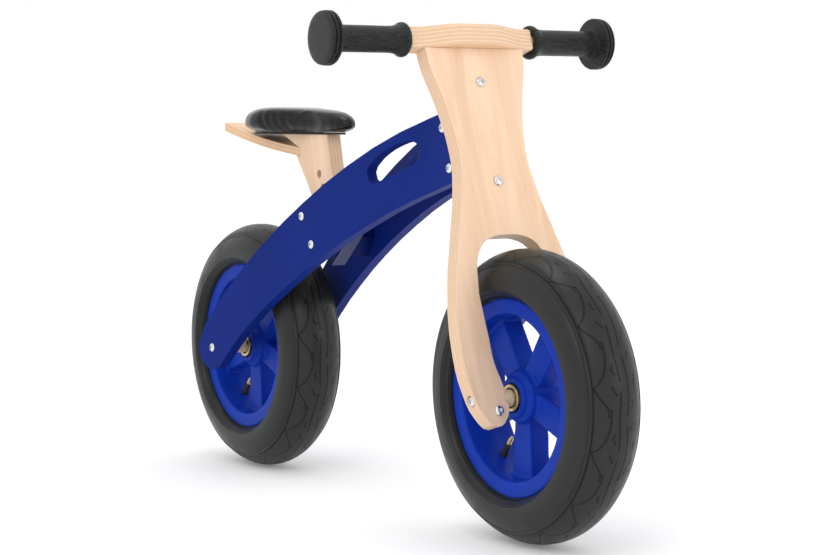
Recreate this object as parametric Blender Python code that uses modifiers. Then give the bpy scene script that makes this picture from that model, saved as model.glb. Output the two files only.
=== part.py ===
"""Wooden balance bike with two air tyres, in metres.

+X is forward, +Y is the rider's left and +Z is up. The origin is on the ground, midway between the axles.
"""

import bpy
import bmesh
import numpy as np
from math import atan2, cos, pi, radians, sin, sqrt
from mathutils import Matrix, Vector

# ---------------------------------------------------------------- driving sizes
GAP = 0.0003
WHEELBASE = 0.5647
TYRE_RADIUS = 0.150
TYRE_HALF_WIDTH = 0.040
TYRE_WALL = 0.006
TYRE_BEAD_WIDTH = 0.0045
TUBE_WALL = 0.0015
TUBE_SLACK = 0.002
RIM_RADIUS = 0.101
RIM_HALF_WIDTH = 0.0288
RIM_LIP_WIDTH = 0.0165
RIM_WALL = 0.003
SPOKE_COUNT = 5
SPOKE_WIDTH_AT_HUB = 0.026
SPOKE_WIDTH_AT_RIM = 0.034
SPOKE_HALF_DEPTH = 0.0115
HUB_RADIUS = 0.026
HUB_HALF_LENGTH = 0.0250
BEARING_RADIUS = 0.014
BEARING_WIDTH = 0.008
BEARING_PROUD = 0.0025
AXLE_RADIUS = 0.005
SPACER_RADIUS = 0.0092
VALVE_ANGLE = radians(234)
VALVE_RADIUS = 0.0042
VALVE_TIP_RADIUS = 0.0026
VALVE_LENGTH = 0.016
VALVE_TIP_LENGTH = 0.010

FORK_TILT = radians(17.65)
FORK_THICKNESS = 0.018
FORK_AXIS_SETBACK = 0.020
FORK_HEIGHT = 0.3686
FORK_ARCH_CLEARANCE = 0.017
FORK_ARCH_TOP = TYRE_RADIUS + FORK_ARCH_CLEARANCE
FORK_GAP_HALF_WIDTH = 0.0455
FORK_LEG_SEAT = 0.0388
FORK_LEG_END = 0.029
FORK_UPPER_BOLT = 0.3315
FORK_LOWER_BOLT = 0.2243
LEG_BOLT_ACROSS = 0.0493
LEG_BOLT_DROP = 0.0131

HEAD_LOW = 0.2366
HEAD_HIGH = 0.3155
HEAD_FRONT = 0.010
HEAD_REAR = 0.030
HEAD_HALF_WIDTH = 0.007
HEAD_BOLT_SETBACK = 0.016
HEAD_BOLT_LOW = 0.2540
HEAD_BOLT_HIGH = 0.2985
STEERING_BLOCK_HALF_WIDTH = 0.018
STEERING_BLOCK_REAR = 0.016
LOWER_BLOCK_HEIGHT = 0.0225
UPPER_BLOCK_HEIGHT = 0.030
STEERING_BOLT_RADIUS = 0.004
WASHER_RADIUS = 0.0085
WASHER_THICKNESS = 0.0015

HANDLEBAR_THICKNESS = 0.023
HANDLEBAR_END = 0.078
HANDLEBAR_END_HALF_DEPTH = 0.0115
HANDLEBAR_MIDDLE_HALF_DEPTH = 0.024
HANDLE_HALF_LENGTH = 0.179
HANDLE_SETBACK = 0.002
HANDLE_TENON_RADIUS = 0.0095
GRIP_RADIUS = 0.0139
GRIP_FLANGE_RADIUS = 0.018
GRIP_DISC_RADIUS = 0.0280
GRIP_DISC_WIDTH = 0.013

PANEL_THICKNESS = 0.0126
PANEL_SPLAY = 0.126
PANEL_REAR_RADIUS = 0.0272
PANEL_HALF_HEIGHTS = (0.0270, 0.0300, 0.0341, 0.0381, 0.0385)
PANEL_REAR_SLOPE = radians(52.1)
PANEL_FRONT_SLOPE = radians(12.5)
PANEL_REAR_PULL = 0.090
PANEL_FRONT_PULL = 0.2106
PANEL_BEND_ROUNDING = 0.012
PANEL_BEND_SETBACK = 0.052
SLOT_ENDS = (0.743, 0.889)
SLOT_LOW = -0.0009
SLOT_HIGH = 0.0279

BOLT_RADIUS = 0.003
BOLT_CLEARANCE = 0.0003
BOLT_HEAD_RADIUS = 0.0053
BOLT_HEAD_HEIGHT = 0.0030
BARREL_RADIUS = 0.004
BARREL_LENGTH = 0.014

SEAT_STATION = 0.5345
SEAT_HOLE_PITCH = 0.0182
SEAT_HOLE_COUNT = 6
SEAT_BOLT_OFFSET = -0.0133
SEAT_HOLE_RADIUS = 0.005
SEAT_SLEEVE_RADIUS = 0.0045
SEAT_POST_THICKNESS = 0.018
SEAT_POST_HALF_DEPTH = 0.028
SEAT_POST_TOP = 0.4115
SEAT_POST_FOOT = 0.015
SEAT_POST_FOOT_RISE = 0.012
SEAT_SPACER_HALF_DEPTH = 0.014
SEAT_TAIL_THICKNESS = 0.0105
SEAT_TAIL_RADIUS = 0.800
SEAT_TAIL_HALF_WIDTH = 0.030
SEAT_TAIL_LENGTH = 0.143
SEAT_BASE_THICKNESS = 0.0024
SEAT_BASE_INSET = 0.020
PAD_LENGTH = 0.222
PAD_HALF_WIDTH = 0.058
PAD_NOSE_HALF_WIDTH = 0.027
PAD_HEIGHT = 0.0300

# ---------------------------------------------------------------- derived sizes
WHEEL_STEPS = 32
TUBE_STEPS = 20
HALF_BASE = WHEELBASE / 2
FORK_DIRECTION = Vector((-sin(FORK_TILT), 0, cos(FORK_TILT)))
FORK_NORMAL = Vector((cos(FORK_TILT), 0, sin(FORK_TILT)))
AXIS_TO_PLATE = FORK_AXIS_SETBACK + FORK_THICKNESS / 2
FRONT_AXLE = Vector((HALF_BASE, 0, TYRE_RADIUS))
REAR_AXLE = Vector((-HALF_BASE, 0, TYRE_RADIUS))
STEERING_ORIGIN = FRONT_AXLE - FORK_NORMAL * AXIS_TO_PLATE
PLATE_FRONT = AXIS_TO_PLATE + FORK_THICKNESS / 2
HANDLE_FORWARD = AXIS_TO_PLATE - HANDLE_SETBACK
PLATE_REAR = AXIS_TO_PLATE - FORK_THICKNESS / 2
HUB_FACE = HUB_HALF_LENGTH + BEARING_PROUD
PANEL_OUTER_AT_HEAD = HEAD_HALF_WIDTH + PANEL_THICKNESS
HOLE_RADIUS = BOLT_RADIUS + BOLT_CLEARANCE
SLEEVE_BORE = BOLT_RADIUS + BOLT_CLEARANCE
TYRE_CENTRE_RADIUS = TYRE_RADIUS - TYRE_HALF_WIDTH

COLORS = {
    "panel_paint": ((0.014, 0.034, 0.235), 0.45, 0.0),
    "wood": ((0.88, 0.67, 0.47), 0.55, 0.0),
    "rim_plastic": ((0.012, 0.045, 0.40), 0.35, 0.0),
    "tyre_rubber": ((0.045, 0.047, 0.048), 0.6, 0.0),
    "grip_rubber": ((0.03, 0.033, 0.033), 0.45, 0.0),
    "pad_vinyl": ((0.02, 0.022, 0.024), 0.25, 0.0),
    "zinc": ((0.72, 0.73, 0.75), 0.3, 1.0),
    "brass": ((0.78, 0.60, 0.30), 0.3, 1.0),
    "spacer_plastic": ((0.80, 0.66, 0.48), 0.5, 0.0),
    "valve_rubber": ((0.02, 0.02, 0.02), 0.5, 0.0),
}

PARTS = None
CUTTERS = None


# ---------------------------------------------------------------- scene helpers
def clear_scene():
    for obj in list(bpy.data.objects):
        bpy.data.objects.remove(obj, do_unlink=True)


def new_collection(name):
    collection = bpy.data.collections.new(name)
    bpy.context.scene.collection.children.link(collection)
    return collection


def material(slot, name):
    color, roughness, metallic = COLORS[slot]
    made = bpy.data.materials.new(name)
    made.use_nodes = True
    shader = made.node_tree.nodes["Principled BSDF"]
    shader.inputs["Base Color"].default_value = (*color, 1)
    shader.inputs["Roughness"].default_value = roughness
    shader.inputs["Metallic"].default_value = metallic
    made.diffuse_color = (*color, 1)
    return made


def empty(name, location, rotation=(0, 0, 0), parent=None):
    made = bpy.data.objects.new(name, None)
    made.empty_display_size = 0.03
    made.location = location
    made.rotation_euler = rotation
    made.parent = parent
    PARTS.objects.link(made)
    return made


def object_from(name, mesh, slot, parent=None, location=(0, 0, 0), rotation=(0, 0, 0)):
    made = bpy.data.objects.new(name, mesh)
    made.location = location
    made.rotation_euler = rotation
    made.parent = parent
    if slot is None:
        made.hide_render = True
        made.display_type = "WIRE"
        CUTTERS.objects.link(made)
    else:
        mesh.materials.append(material(slot, name))
        mesh.shade_smooth()
        mesh.set_sharp_from_angle(angle=radians(32))
        PARTS.objects.link(made)
    return made


def bmesh_to_mesh(name, work):
    bmesh.ops.recalc_face_normals(work, faces=work.faces)
    mesh = bpy.data.meshes.new(name)
    work.to_mesh(mesh)
    work.free()
    return mesh


# ---------------------------------------------------------------- solid helpers
def turned(name, profile, slot, steps=24, **place):
    """A solid turned about local Z from (radius, height) points that run down its outer side."""
    mesh = bpy.data.meshes.new(name)
    points = [(radius, 0, height) for radius, height in profile]
    open_profile = profile[0][0] == 0 and profile[-1][0] == 0
    links = [(i, i + 1) for i in range(len(points) - 1)]
    if not open_profile:
        links.append((len(points) - 1, 0))
    mesh.from_pydata(points, links, [])
    made = object_from(name, mesh, slot, **place)
    screw = made.modifiers.new("Turn", "SCREW")
    screw.steps = steps
    screw.render_steps = steps
    screw.use_merge_vertices = True
    screw.merge_threshold = 0.00001
    screw.use_smooth_shade = True
    applied(made)
    work = bmesh.new()
    work.from_mesh(made.data)
    bmesh.ops.recalc_face_normals(work, faces=work.faces)
    work.to_mesh(made.data)
    work.free()
    if slot is not None:
        made.data.set_sharp_from_angle(angle=radians(32))
    return made


def applied(obj):
    """Bakes the object's modifiers into its mesh."""
    bpy.context.view_layer.update()
    graph = bpy.context.evaluated_depsgraph_get()
    baked = bpy.data.meshes.new_from_object(obj.evaluated_get(graph))
    old = obj.data
    obj.modifiers.clear()
    obj.data = baked
    bpy.data.meshes.remove(old)
    return obj


def rod(name, radius, length, slot, steps=12, **place):
    """A cylinder centred on its origin, along local Z."""
    work = bmesh.new()
    bmesh.ops.create_cone(work, cap_ends=True, segments=steps, radius1=radius, radius2=radius, depth=length)
    return object_from(name, bmesh_to_mesh(name, work), slot, **place)


def box(name, low, high, slot, bevel=0.0, **place):
    work = bmesh.new()
    middle = (Vector(low) + Vector(high)) / 2
    size = Vector(high) - Vector(low)
    bmesh.ops.create_cube(work, size=1, matrix=Matrix.Translation(middle) @ Matrix.Diagonal((*size, 1)))
    made = object_from(name, bmesh_to_mesh(name, work), slot, **place)
    if bevel:
        add_bevel(made, bevel)
    return made


def add_bevel(obj, width, segments=1, angle=50):
    bevel = obj.modifiers.new("Edge rounding", "BEVEL")
    bevel.width = width
    bevel.segments = segments
    bevel.limit_method = "ANGLE"
    bevel.angle_limit = radians(angle)
    return bevel


def board(name, outline, thickness, slot, resolution=4, across=0.0, bevel=0.0, **place):
    """A flat outline of (x, z, kind) points made into a board centred on y = across.

    Points of kind "smooth" are joined by curves, and points of kind "corner" stay sharp.
    """
    curve = bpy.data.curves.new(name, "CURVE")
    curve.dimensions = "2D"
    curve.fill_mode = "BOTH"
    curve.extrude = thickness / 2
    curve.resolution_u = resolution
    spline = curve.splines.new("BEZIER")
    spline.use_cyclic_u = True
    spline.bezier_points.add(len(outline) - 1)
    for point, (x, z, kind) in zip(spline.bezier_points, outline):
        handle = "AUTO" if kind == "smooth" else "VECTOR"
        point.co = (x, z, 0)
        point.handle_left_type = handle
        point.handle_right_type = handle
    guide = bpy.data.objects.new(name + "_outline", curve)
    guide.rotation_euler = (pi / 2, 0, 0)
    guide.location = (0, across, 0)
    CUTTERS.objects.link(guide)
    bpy.context.view_layer.update()
    graph = bpy.context.evaluated_depsgraph_get()
    mesh = bpy.data.meshes.new_from_object(guide.evaluated_get(graph))
    mesh.transform(guide.matrix_world)
    bpy.data.objects.remove(guide, do_unlink=True)
    work = bmesh.new()
    work.from_mesh(mesh)
    bpy.data.meshes.remove(mesh)
    bmesh.ops.remove_doubles(work, verts=work.verts, dist=0.00002)
    bmesh.ops.dissolve_limit(work, angle_limit=radians(0.5), verts=work.verts, edges=work.edges)
    made = object_from(name, bmesh_to_mesh(name, work), slot, **place)
    if bevel:
        add_bevel(made, bevel)
    return made


def cut(obj, cutter, operation="DIFFERENCE"):
    boolean = obj.modifiers.new("Cut", "BOOLEAN")
    boolean.operation = operation
    boolean.object = cutter
    boolean.solver = "EXACT"


def mirrored(points):
    """A closed outline from the points of its +x half, which run from top middle to bottom middle."""
    other = [(-x, z, kind) for x, z, kind in reversed(points) if x > 0]
    return points + other


ALONG_Y = (-pi / 2, 0, 0)
ALONG_MINUS_Y = (pi / 2, 0, 0)
ALONG_X = (0, pi / 2, 0)


# ---------------------------------------------------------------- fasteners
def bolt(name, length, **place):
    """A domed socket bolt: the head's flat underside is at the origin and the shank runs down -Z."""
    head, height, shank = BOLT_HEAD_RADIUS, BOLT_HEAD_HEIGHT, BOLT_RADIUS
    socket = 0.4 * head
    profile = [
        (0, 0.45 * height),
        (socket, 0.45 * height),
        (socket * 1.1, height),
        (0.72 * head, 0.80 * height),
        (head, 0.25 * height),
        (head, 0),
        (shank, 0),
        (shank, -length),
        (0, -length),
    ]
    return turned(name, profile, "zinc", steps=10, **place)


def sleeve_nut(name, length, barrel_radius, **place):
    """A domed head on a bored barrel that runs down -Z from the origin and takes a bolt's shank."""
    head, height, bore = BOLT_HEAD_RADIUS, BOLT_HEAD_HEIGHT, SLEEVE_BORE
    profile = [
        (0, height),
        (0.72 * head, 0.80 * height),
        (head, 0.25 * height),
        (head, 0),
        (barrel_radius, 0),
        (barrel_radius, -length),
        (bore, -length),
        (bore, -0.002),
        (0, -0.002),
    ]
    return turned(name, profile, "zinc", steps=10, **place)


def plain_ring(name, outer, inner, length, slot, steps=14, **place):
    """A tube centred on its origin along local Z."""
    half = length / 2
    profile = [(outer, half), (outer, -half), (inner, -half), (inner, half)]
    return turned(name, profile, slot, steps=steps, **place)


# ---------------------------------------------------------------- wheels
def arc(centre, radius, start, end, count):
    """Points of an arc in the (radius, width) plane; angle 0 points along the axle."""
    angles = np.linspace(radians(start), radians(end), count)
    return [(centre + radius * sin(a), radius * cos(a)) for a in angles]


def tyre_profile():
    """Outer side from one bead over the crown to the other, then back along the air chamber."""
    seat = RIM_HALF_WIDTH - RIM_WALL - GAP
    bead_foot = RIM_RADIUS - 0.0105
    bead_inner = seat - TYRE_BEAD_WIDTH
    outer = arc(TYRE_CENTRE_RADIUS, TYRE_HALF_WIDTH, -8, 188, 9)
    left = [
        (RIM_RADIUS + 2 * GAP, -(RIM_HALF_WIDTH + 0.001)),
        (RIM_RADIUS + 2 * GAP, -seat),
        (bead_foot, -seat),
        (bead_foot, -bead_inner),
        (RIM_RADIUS + 0.0035, -bead_inner),
        (RIM_RADIUS + 0.0050, -(TYRE_HALF_WIDTH - 0.010)),
    ]
    chamber = arc(TYRE_CENTRE_RADIUS, TYRE_HALF_WIDTH - TYRE_WALL, 180, 0, 5)
    right = [(radius, -width) for radius, width in reversed(left)]
    return outer + left + chamber + right


def tube_section(reach, foot, foot_half, sink):
    """Half circle towards the tread, drawn in between the beads to a flat foot."""
    left = [
        (RIM_RADIUS + 0.0075 + sink, -(reach - 0.005)),
        (RIM_RADIUS + 0.0050 + sink, -foot_half),
        (foot, -foot_half),
    ]
    right = [(radius, -width) for radius, width in reversed(left)]
    return arc(TYRE_CENTRE_RADIUS, reach, 0, 180, 5) + left + right


def tube_profile():
    """A thin tube that fills the air chamber between the tyre and the rim."""
    reach = TYRE_HALF_WIDTH - TYRE_WALL - TUBE_SLACK
    foot = RIM_RADIUS - 0.0085
    foot_half = RIM_HALF_WIDTH - RIM_WALL - TYRE_BEAD_WIDTH - 0.0025
    outer = tube_section(reach, foot, foot_half, 0)
    inner = tube_section(reach - TUBE_WALL, foot + TUBE_WALL, foot_half - TUBE_WALL, TUBE_WALL)
    return outer, list(reversed(inner))


def rim_profile():
    """The flat lip, bead seats and barrel of the rim, as a closed ring."""
    lip_inner = RIM_RADIUS - RIM_LIP_WIDTH
    seat = lip_inner + 0.005
    edge = RIM_HALF_WIDTH
    half = [
        (seat, 0.5 * edge),
        (seat, edge - RIM_WALL),
        (RIM_RADIUS, edge - RIM_WALL),
        (RIM_RADIUS, edge - 0.001),
        (RIM_RADIUS - 0.001, edge),
        (lip_inner + 0.001, edge - 0.0006),
        (lip_inner, edge - 0.0020),
        (lip_inner - 0.0018, 0.5 * edge),
    ]
    other = [(radius, -width) for radius, width in reversed(half)]
    return half + other


def spoke_angles():
    return [-pi / 2 + 2 * pi * k / SPOKE_COUNT for k in range(SPOKE_COUNT)]


def spoke(name, angle, parent):
    """One tapered spoke from inside the hub to inside the barrel, with softened edges."""
    inner = (BEARING_RADIUS + HUB_RADIUS) / 2
    outer = RIM_RADIUS - RIM_LIP_WIDTH + 0.0015
    half_in, half_out = SPOKE_WIDTH_AT_HUB / 2, SPOKE_WIDTH_AT_RIM / 2
    work = bmesh.new()
    bmesh.ops.create_cube(work, size=1)
    for vert in work.verts:
        far = vert.co.x > 0
        half = half_out if far else half_in
        depth = SPOKE_HALF_DEPTH * (1.15 if far else 1.0)
        side = 1 if vert.co.y > 0 else -1
        face = 1 if vert.co.z > 0 else -1
        vert.co = Vector((outer if far else inner, side * half, face * depth))
    made = object_from(name, bmesh_to_mesh(name, work), None, parent=parent, rotation=(0, 0, angle))
    add_bevel(made, 0.004)
    return made


def wheel(name, parent):
    """All pieces of one wheel under an empty at the axle's centre, whose local Z is the axle."""
    spin = empty(f"{name}_wheel", (0, 0, 0), ALONG_MINUS_Y, parent)
    turned(f"{name}_tyre", tyre_profile(), "tyre_rubber", steps=WHEEL_STEPS, parent=spin)
    bore = BEARING_RADIUS + GAP
    shelf = HUB_HALF_LENGTH + BEARING_PROUD - BEARING_WIDTH - GAP
    hub_profile = [
        (bore, HUB_HALF_LENGTH),
        (HUB_RADIUS - 0.002, HUB_HALF_LENGTH),
        (HUB_RADIUS, HUB_HALF_LENGTH - 0.002),
        (HUB_RADIUS, 0.002 - HUB_HALF_LENGTH),
        (HUB_RADIUS - 0.002, -HUB_HALF_LENGTH),
        (bore, -HUB_HALF_LENGTH),
        (bore, -shelf),
        (AXLE_RADIUS + 0.003, -shelf),
        (AXLE_RADIUS + 0.003, shelf),
        (bore, shelf),
    ]
    barrel = turned(f"{name}_rim", rim_profile(), "rim_plastic", steps=WHEEL_STEPS, parent=spin)
    centre = turned(f"{name}_hub_solid", hub_profile, None, steps=20, parent=spin)
    spokes = [spoke(f"{name}_spoke_{k}", a, spin) for k, a in enumerate(spoke_angles())]
    valve_turn = empty(f"{name}_valve_turning", (0, 0, 0), (0, 0, VALVE_ANGLE), spin)
    tip_start = RIM_RADIUS - 0.0175 - VALVE_LENGTH
    stem_top = RIM_RADIUS - 0.006
    valve_hole = rod(
        f"{name}_valve_hole", VALVE_RADIUS + GAP, 0.03, None, steps=16,
        parent=valve_turn, location=(RIM_RADIUS - 0.012, 0, 0), rotation=ALONG_X,
    )
    for piece in [centre] + spokes:
        cut(barrel, piece, "UNION")
    cut(barrel, valve_hole)

    outer, inner = tube_profile()
    tube = turned(f"{name}_inner_tube", outer, "valve_rubber", steps=TUBE_STEPS, parent=spin)
    hollow = turned(f"{name}_tube_hollow", inner, None, steps=TUBE_STEPS, parent=spin)
    cut(tube, hollow)
    cut(tube, valve_hole)

    stem = [
        (0, stem_top),
        (VALVE_RADIUS, stem_top),
        (VALVE_RADIUS, tip_start + 0.001),
        (VALVE_RADIUS - 0.001, tip_start),
        (0, tip_start),
    ]
    turned(f"{name}_valve_stem", stem, "valve_rubber", steps=12, parent=valve_turn, rotation=ALONG_X)
    tip_end = tip_start - VALVE_TIP_LENGTH
    tip = [
        (0, tip_start - GAP),
        (VALVE_TIP_RADIUS, tip_start - GAP),
        (VALVE_TIP_RADIUS, tip_end),
        (0, tip_end),
    ]
    turned(f"{name}_valve_tip", tip, "brass", steps=12, parent=valve_turn, rotation=ALONG_X)

    middle = HUB_HALF_LENGTH + BEARING_PROUD - BEARING_WIDTH / 2
    for side, way in (("right", 1), ("left", -1)):
        plain_ring(
            f"{name}_bearing_{side}", BEARING_RADIUS, AXLE_RADIUS + GAP, BEARING_WIDTH, "brass",
            steps=18, parent=spin, location=(0, 0, way * middle),
        )


# ---------------------------------------------------------------- fork
def fork_outline():
    """The +y half of the fork plate's outline, as (across, up) from the axle."""
    gap = FORK_GAP_HALF_WIDTH
    arch = FORK_ARCH_TOP
    top = FORK_HEIGHT
    return [
        (0, top, "corner"),
        (0.0615, top, "corner"),
        (0.0595, top - 0.020, "smooth"),
        (0.0500, top - 0.055, "smooth"),
        (0.0420, top - 0.112, "smooth"),
        (0.0455, top - 0.145, "smooth"),
        (gap + 0.0132, arch + 0.006, "smooth"),
        (gap + 0.0288, arch - 0.052, "smooth"),
        (gap + 0.0357, 0.048, "smooth"),
        (gap + 0.0315, 0.008, "smooth"),
        (gap + 0.0225, -0.016, "smooth"),
        (gap + 0.0080, -FORK_LEG_END, "smooth"),
        (gap - 0.0050, -0.021, "smooth"),
        (gap - 0.0090, -0.009, "smooth"),
        (gap - 0.0060, 0.014, "smooth"),
        (gap - 0.0005, 0.036, "smooth"),
        (gap + 0.0005, 0.060, "smooth"),
        (gap, arch - 0.035, "smooth"),
        (gap - 0.0110, arch - 0.0105, "smooth"),
        (gap - 0.0280, arch - 0.0012, "smooth"),
        (0, arch, "smooth"),
    ]


def fork_plate(fork):
    """The single tilted plate with two legs. It is drawn flat in its own X-Z plane and turned to face forward."""
    plate = board(
        "fork_plate", mirrored(fork_outline()), FORK_THICKNESS, "wood", resolution=3,
        parent=fork, location=(AXIS_TO_PLATE, 0, 0), rotation=(0, 0, pi / 2),
    )
    facing = {"parent": fork, "rotation": ALONG_X}
    for k, height in enumerate((FORK_UPPER_BOLT, FORK_LOWER_BOLT)):
        cut(plate, rod(f"plate_hole_{k}", HOLE_RADIUS, 0.06, None, location=(AXIS_TO_PLATE, 0, height), **facing))
    for k, side in enumerate((-1, 1)):
        place = (AXIS_TO_PLATE, side * LEG_BOLT_ACROSS, -LEG_BOLT_DROP)
        cut(plate, rod(f"leg_hole_{k}", HOLE_RADIUS, 0.06, None, location=place, **facing))
    across = {"parent": fork, "rotation": ALONG_Y, "location": (AXIS_TO_PLATE, 0, 0)}
    cut(plate, rod("axle_bolt_hole", HOLE_RADIUS, 0.2, None, **across))
    cut(plate, rod("leg_inner_seat", SPACER_RADIUS + 0.001, 2 * FORK_LEG_SEAT, None, steps=24, **across))
    for k, side in enumerate((-1, 1)):
        place = (AXIS_TO_PLATE, side * (LEG_OUTER_SEAT + 0.01), 0)
        cut(plate, rod(f"leg_outer_seat_{k}", BOLT_HEAD_RADIUS + 0.0006, 0.02, None, steps=24,
                       parent=fork, rotation=ALONG_Y, location=place))
    return plate


LEG_OUTER_SEAT = FORK_GAP_HALF_WIDTH + 0.0272


def leg_fasteners(fork):
    """Axle bolts through the legs' edges, and the bolts through the plate below the axle."""
    for side, way in (("right", -1), ("left", 1)):
        turn = ALONG_MINUS_Y if way < 0 else ALONG_Y
        bolt(
            f"front_axle_bolt_{side}", LEG_OUTER_SEAT - FORK_LEG_SEAT + 0.020, parent=fork,
            location=(AXIS_TO_PLATE, way * (LEG_OUTER_SEAT + GAP), 0), rotation=turn,
        )
        place = (PLATE_FRONT + GAP, way * LEG_BOLT_ACROSS, -LEG_BOLT_DROP)
        bolt(f"leg_bolt_{side}", FORK_THICKNESS + 0.005, parent=fork, location=place, rotation=ALONG_X)
        nut(f"leg_nut_{side}", fork, (PLATE_REAR - GAP, way * LEG_BOLT_ACROSS, -LEG_BOLT_DROP))


def nut(name, parent, location):
    """A hexagon nut whose seat faces +X."""
    height = 0.0045
    work = bmesh.new()
    bmesh.ops.create_cone(work, cap_ends=True, segments=6, radius1=0.0058, radius2=0.0058, depth=height)
    made = object_from(name, bmesh_to_mesh(name, work), "zinc", parent=parent, rotation=ALONG_X,
                       location=(location[0] - height / 2, location[1], location[2]))
    hole = rod(name + "_bore", HOLE_RADIUS, 3 * height, None, steps=12, parent=made)
    cut(made, hole)
    return made


def axle_set(prefix, parent, location, seat):
    """An axle rod tapped at both ends, and the two spacers between the bearings and the seats."""
    place = {"parent": parent}
    length = seat - GAP
    bore = SLEEVE_BORE
    depth = 0.021
    profile = [
        (0, length - depth),
        (bore, length - depth),
        (bore, length),
        (AXLE_RADIUS, length),
        (AXLE_RADIUS, -length),
        (bore, -length),
        (bore, depth - length),
        (0, depth - length),
    ]
    turned(f"{prefix}_axle", profile, "zinc", steps=16, location=location, rotation=ALONG_Y, **place)
    spacer = length - HUB_FACE - GAP
    middle = HUB_FACE + GAP + spacer / 2
    for side, way in (("right", -1), ("left", 1)):
        plain_ring(
            f"{prefix}_spacer_{side}", SPACER_RADIUS, AXLE_RADIUS + GAP, spacer, "spacer_plastic", steps=14,
            location=(location[0], way * middle, location[2]), rotation=ALONG_Y, **place,
        )


def steering_blocks(fork):
    """The two blocks on the plate that hold the frame's head between them, with their barrel nuts."""
    front = PLATE_REAR - GAP
    low_top = HEAD_LOW - WASHER_THICKNESS - 2 * GAP
    high_bottom = HEAD_HIGH + WASHER_THICKNESS + 2 * GAP
    spans = {
        "lower": (low_top - LOWER_BLOCK_HEIGHT, low_top, FORK_LOWER_BOLT),
        "upper": (high_bottom, high_bottom + UPPER_BLOCK_HEIGHT, FORK_UPPER_BOLT),
    }
    barrel_place = 0.0125
    for name, (low, high, bolt_height) in spans.items():
        half = STEERING_BLOCK_HALF_WIDTH
        block = box(f"steering_block_{name}", (-STEERING_BLOCK_REAR, -half, low), (front, half, high), "wood",
                    bevel=0.0015, parent=fork)
        middle = (low + high) / 2
        cut(block, rod(f"{name}_pin_hole", STEERING_BOLT_RADIUS + GAP, 0.1, None,
                       parent=fork, location=(0, 0, middle)))
        cut(block, rod(f"{name}_bolt_hole", HOLE_RADIUS, 0.03, None, steps=12, parent=fork,
                       rotation=ALONG_X, location=(front + 0.004, 0, bolt_height)))
        cut(block, rod(f"{name}_barrel_hole", BARREL_RADIUS + GAP, 0.06, None, parent=fork,
                       rotation=ALONG_Y, location=(barrel_place, 0, bolt_height)))
        barrel = rod(f"barrel_nut_{name}", BARREL_RADIUS, BARREL_LENGTH, "zinc", steps=16, parent=fork,
                     rotation=ALONG_Y, location=(barrel_place, 0, bolt_height))
        cut(barrel, rod(f"{name}_barrel_bore", HOLE_RADIUS, 0.02, None, steps=12, parent=fork,
                        rotation=ALONG_X, location=(barrel_place, 0, bolt_height)))
        reach = PLATE_FRONT - barrel_place + BARREL_RADIUS - 0.001
        bolt(f"fork_bolt_{name}", reach, parent=fork, rotation=ALONG_X,
             location=(PLATE_FRONT + GAP, 0, bolt_height))
        washer_low = HEAD_LOW - GAP - WASHER_THICKNESS if name == "lower" else HEAD_HIGH + GAP
        plain_ring(f"steering_washer_{name}", WASHER_RADIUS, STEERING_BOLT_RADIUS + GAP, WASHER_THICKNESS,
                   "zinc", parent=fork, location=(0, 0, washer_low + WASHER_THICKNESS / 2))
    return spans["lower"][0], spans["upper"][1]


def steering_bolt(fork, low, high):
    """The long bolt that the fork turns on, with its nut above the upper block."""
    head_radius, head_height, nut_height = 0.0068, 0.0055, 0.0065
    radius = STEERING_BOLT_RADIUS
    under = low - GAP
    top = high + GAP + nut_height + 0.003
    profile = [
        (0, top),
        (radius - 0.0006, top),
        (radius, top - 0.0006),
        (radius, under),
        (head_radius, under),
        (head_radius, under - head_height + 0.001),
        (head_radius - 0.001, under - head_height),
        (0, under - head_height),
    ]
    turned("steering_bolt", profile, "zinc", steps=16, parent=fork)
    work = bmesh.new()
    bmesh.ops.create_cone(work, cap_ends=True, segments=6, radius1=0.0075, radius2=0.0075, depth=nut_height)
    made = object_from("steering_nut", bmesh_to_mesh("steering_nut", work), "zinc", parent=fork,
                       location=(0, 0, high + GAP + nut_height / 2))
    cut(made, rod("steering_nut_bore", radius + GAP, 0.02, None, parent=made))


def handlebar(fork):
    """The bent-fronted board on the plate's top edge, with a round tenon in each grip."""
    low = FORK_HEIGHT + GAP
    end, middle = HANDLEBAR_END_HALF_DEPTH, HANDLEBAR_MIDDLE_HALF_DEPTH
    quarter = [
        (0, middle, "smooth"),
        (0.026, middle - 0.001, "smooth"),
        (0.052, end + 0.003, "smooth"),
        (0.062, end, "smooth"),
        (HANDLEBAR_END, end, "corner"),
    ]
    half = quarter + [(x, -z, kind) for x, z, kind in reversed(quarter)]
    made = board(
        "handlebar", mirrored(half), HANDLEBAR_THICKNESS, "wood",
        parent=fork, location=(HANDLE_FORWARD, 0, low + HANDLEBAR_THICKNESS / 2), rotation=(pi / 2, 0, pi / 2),
    )
    tenon_end = HANDLE_HALF_LENGTH - 0.011
    tenon = rod("handlebar_tenon", HANDLE_TENON_RADIUS, 2 * tenon_end, None, steps=20, parent=fork,
                rotation=ALONG_Y, location=(HANDLE_FORWARD, 0, low + HANDLEBAR_THICKNESS / 2))
    add_bevel(made, 0.002)
    cut(made, tenon, "UNION")
    return made


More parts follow.
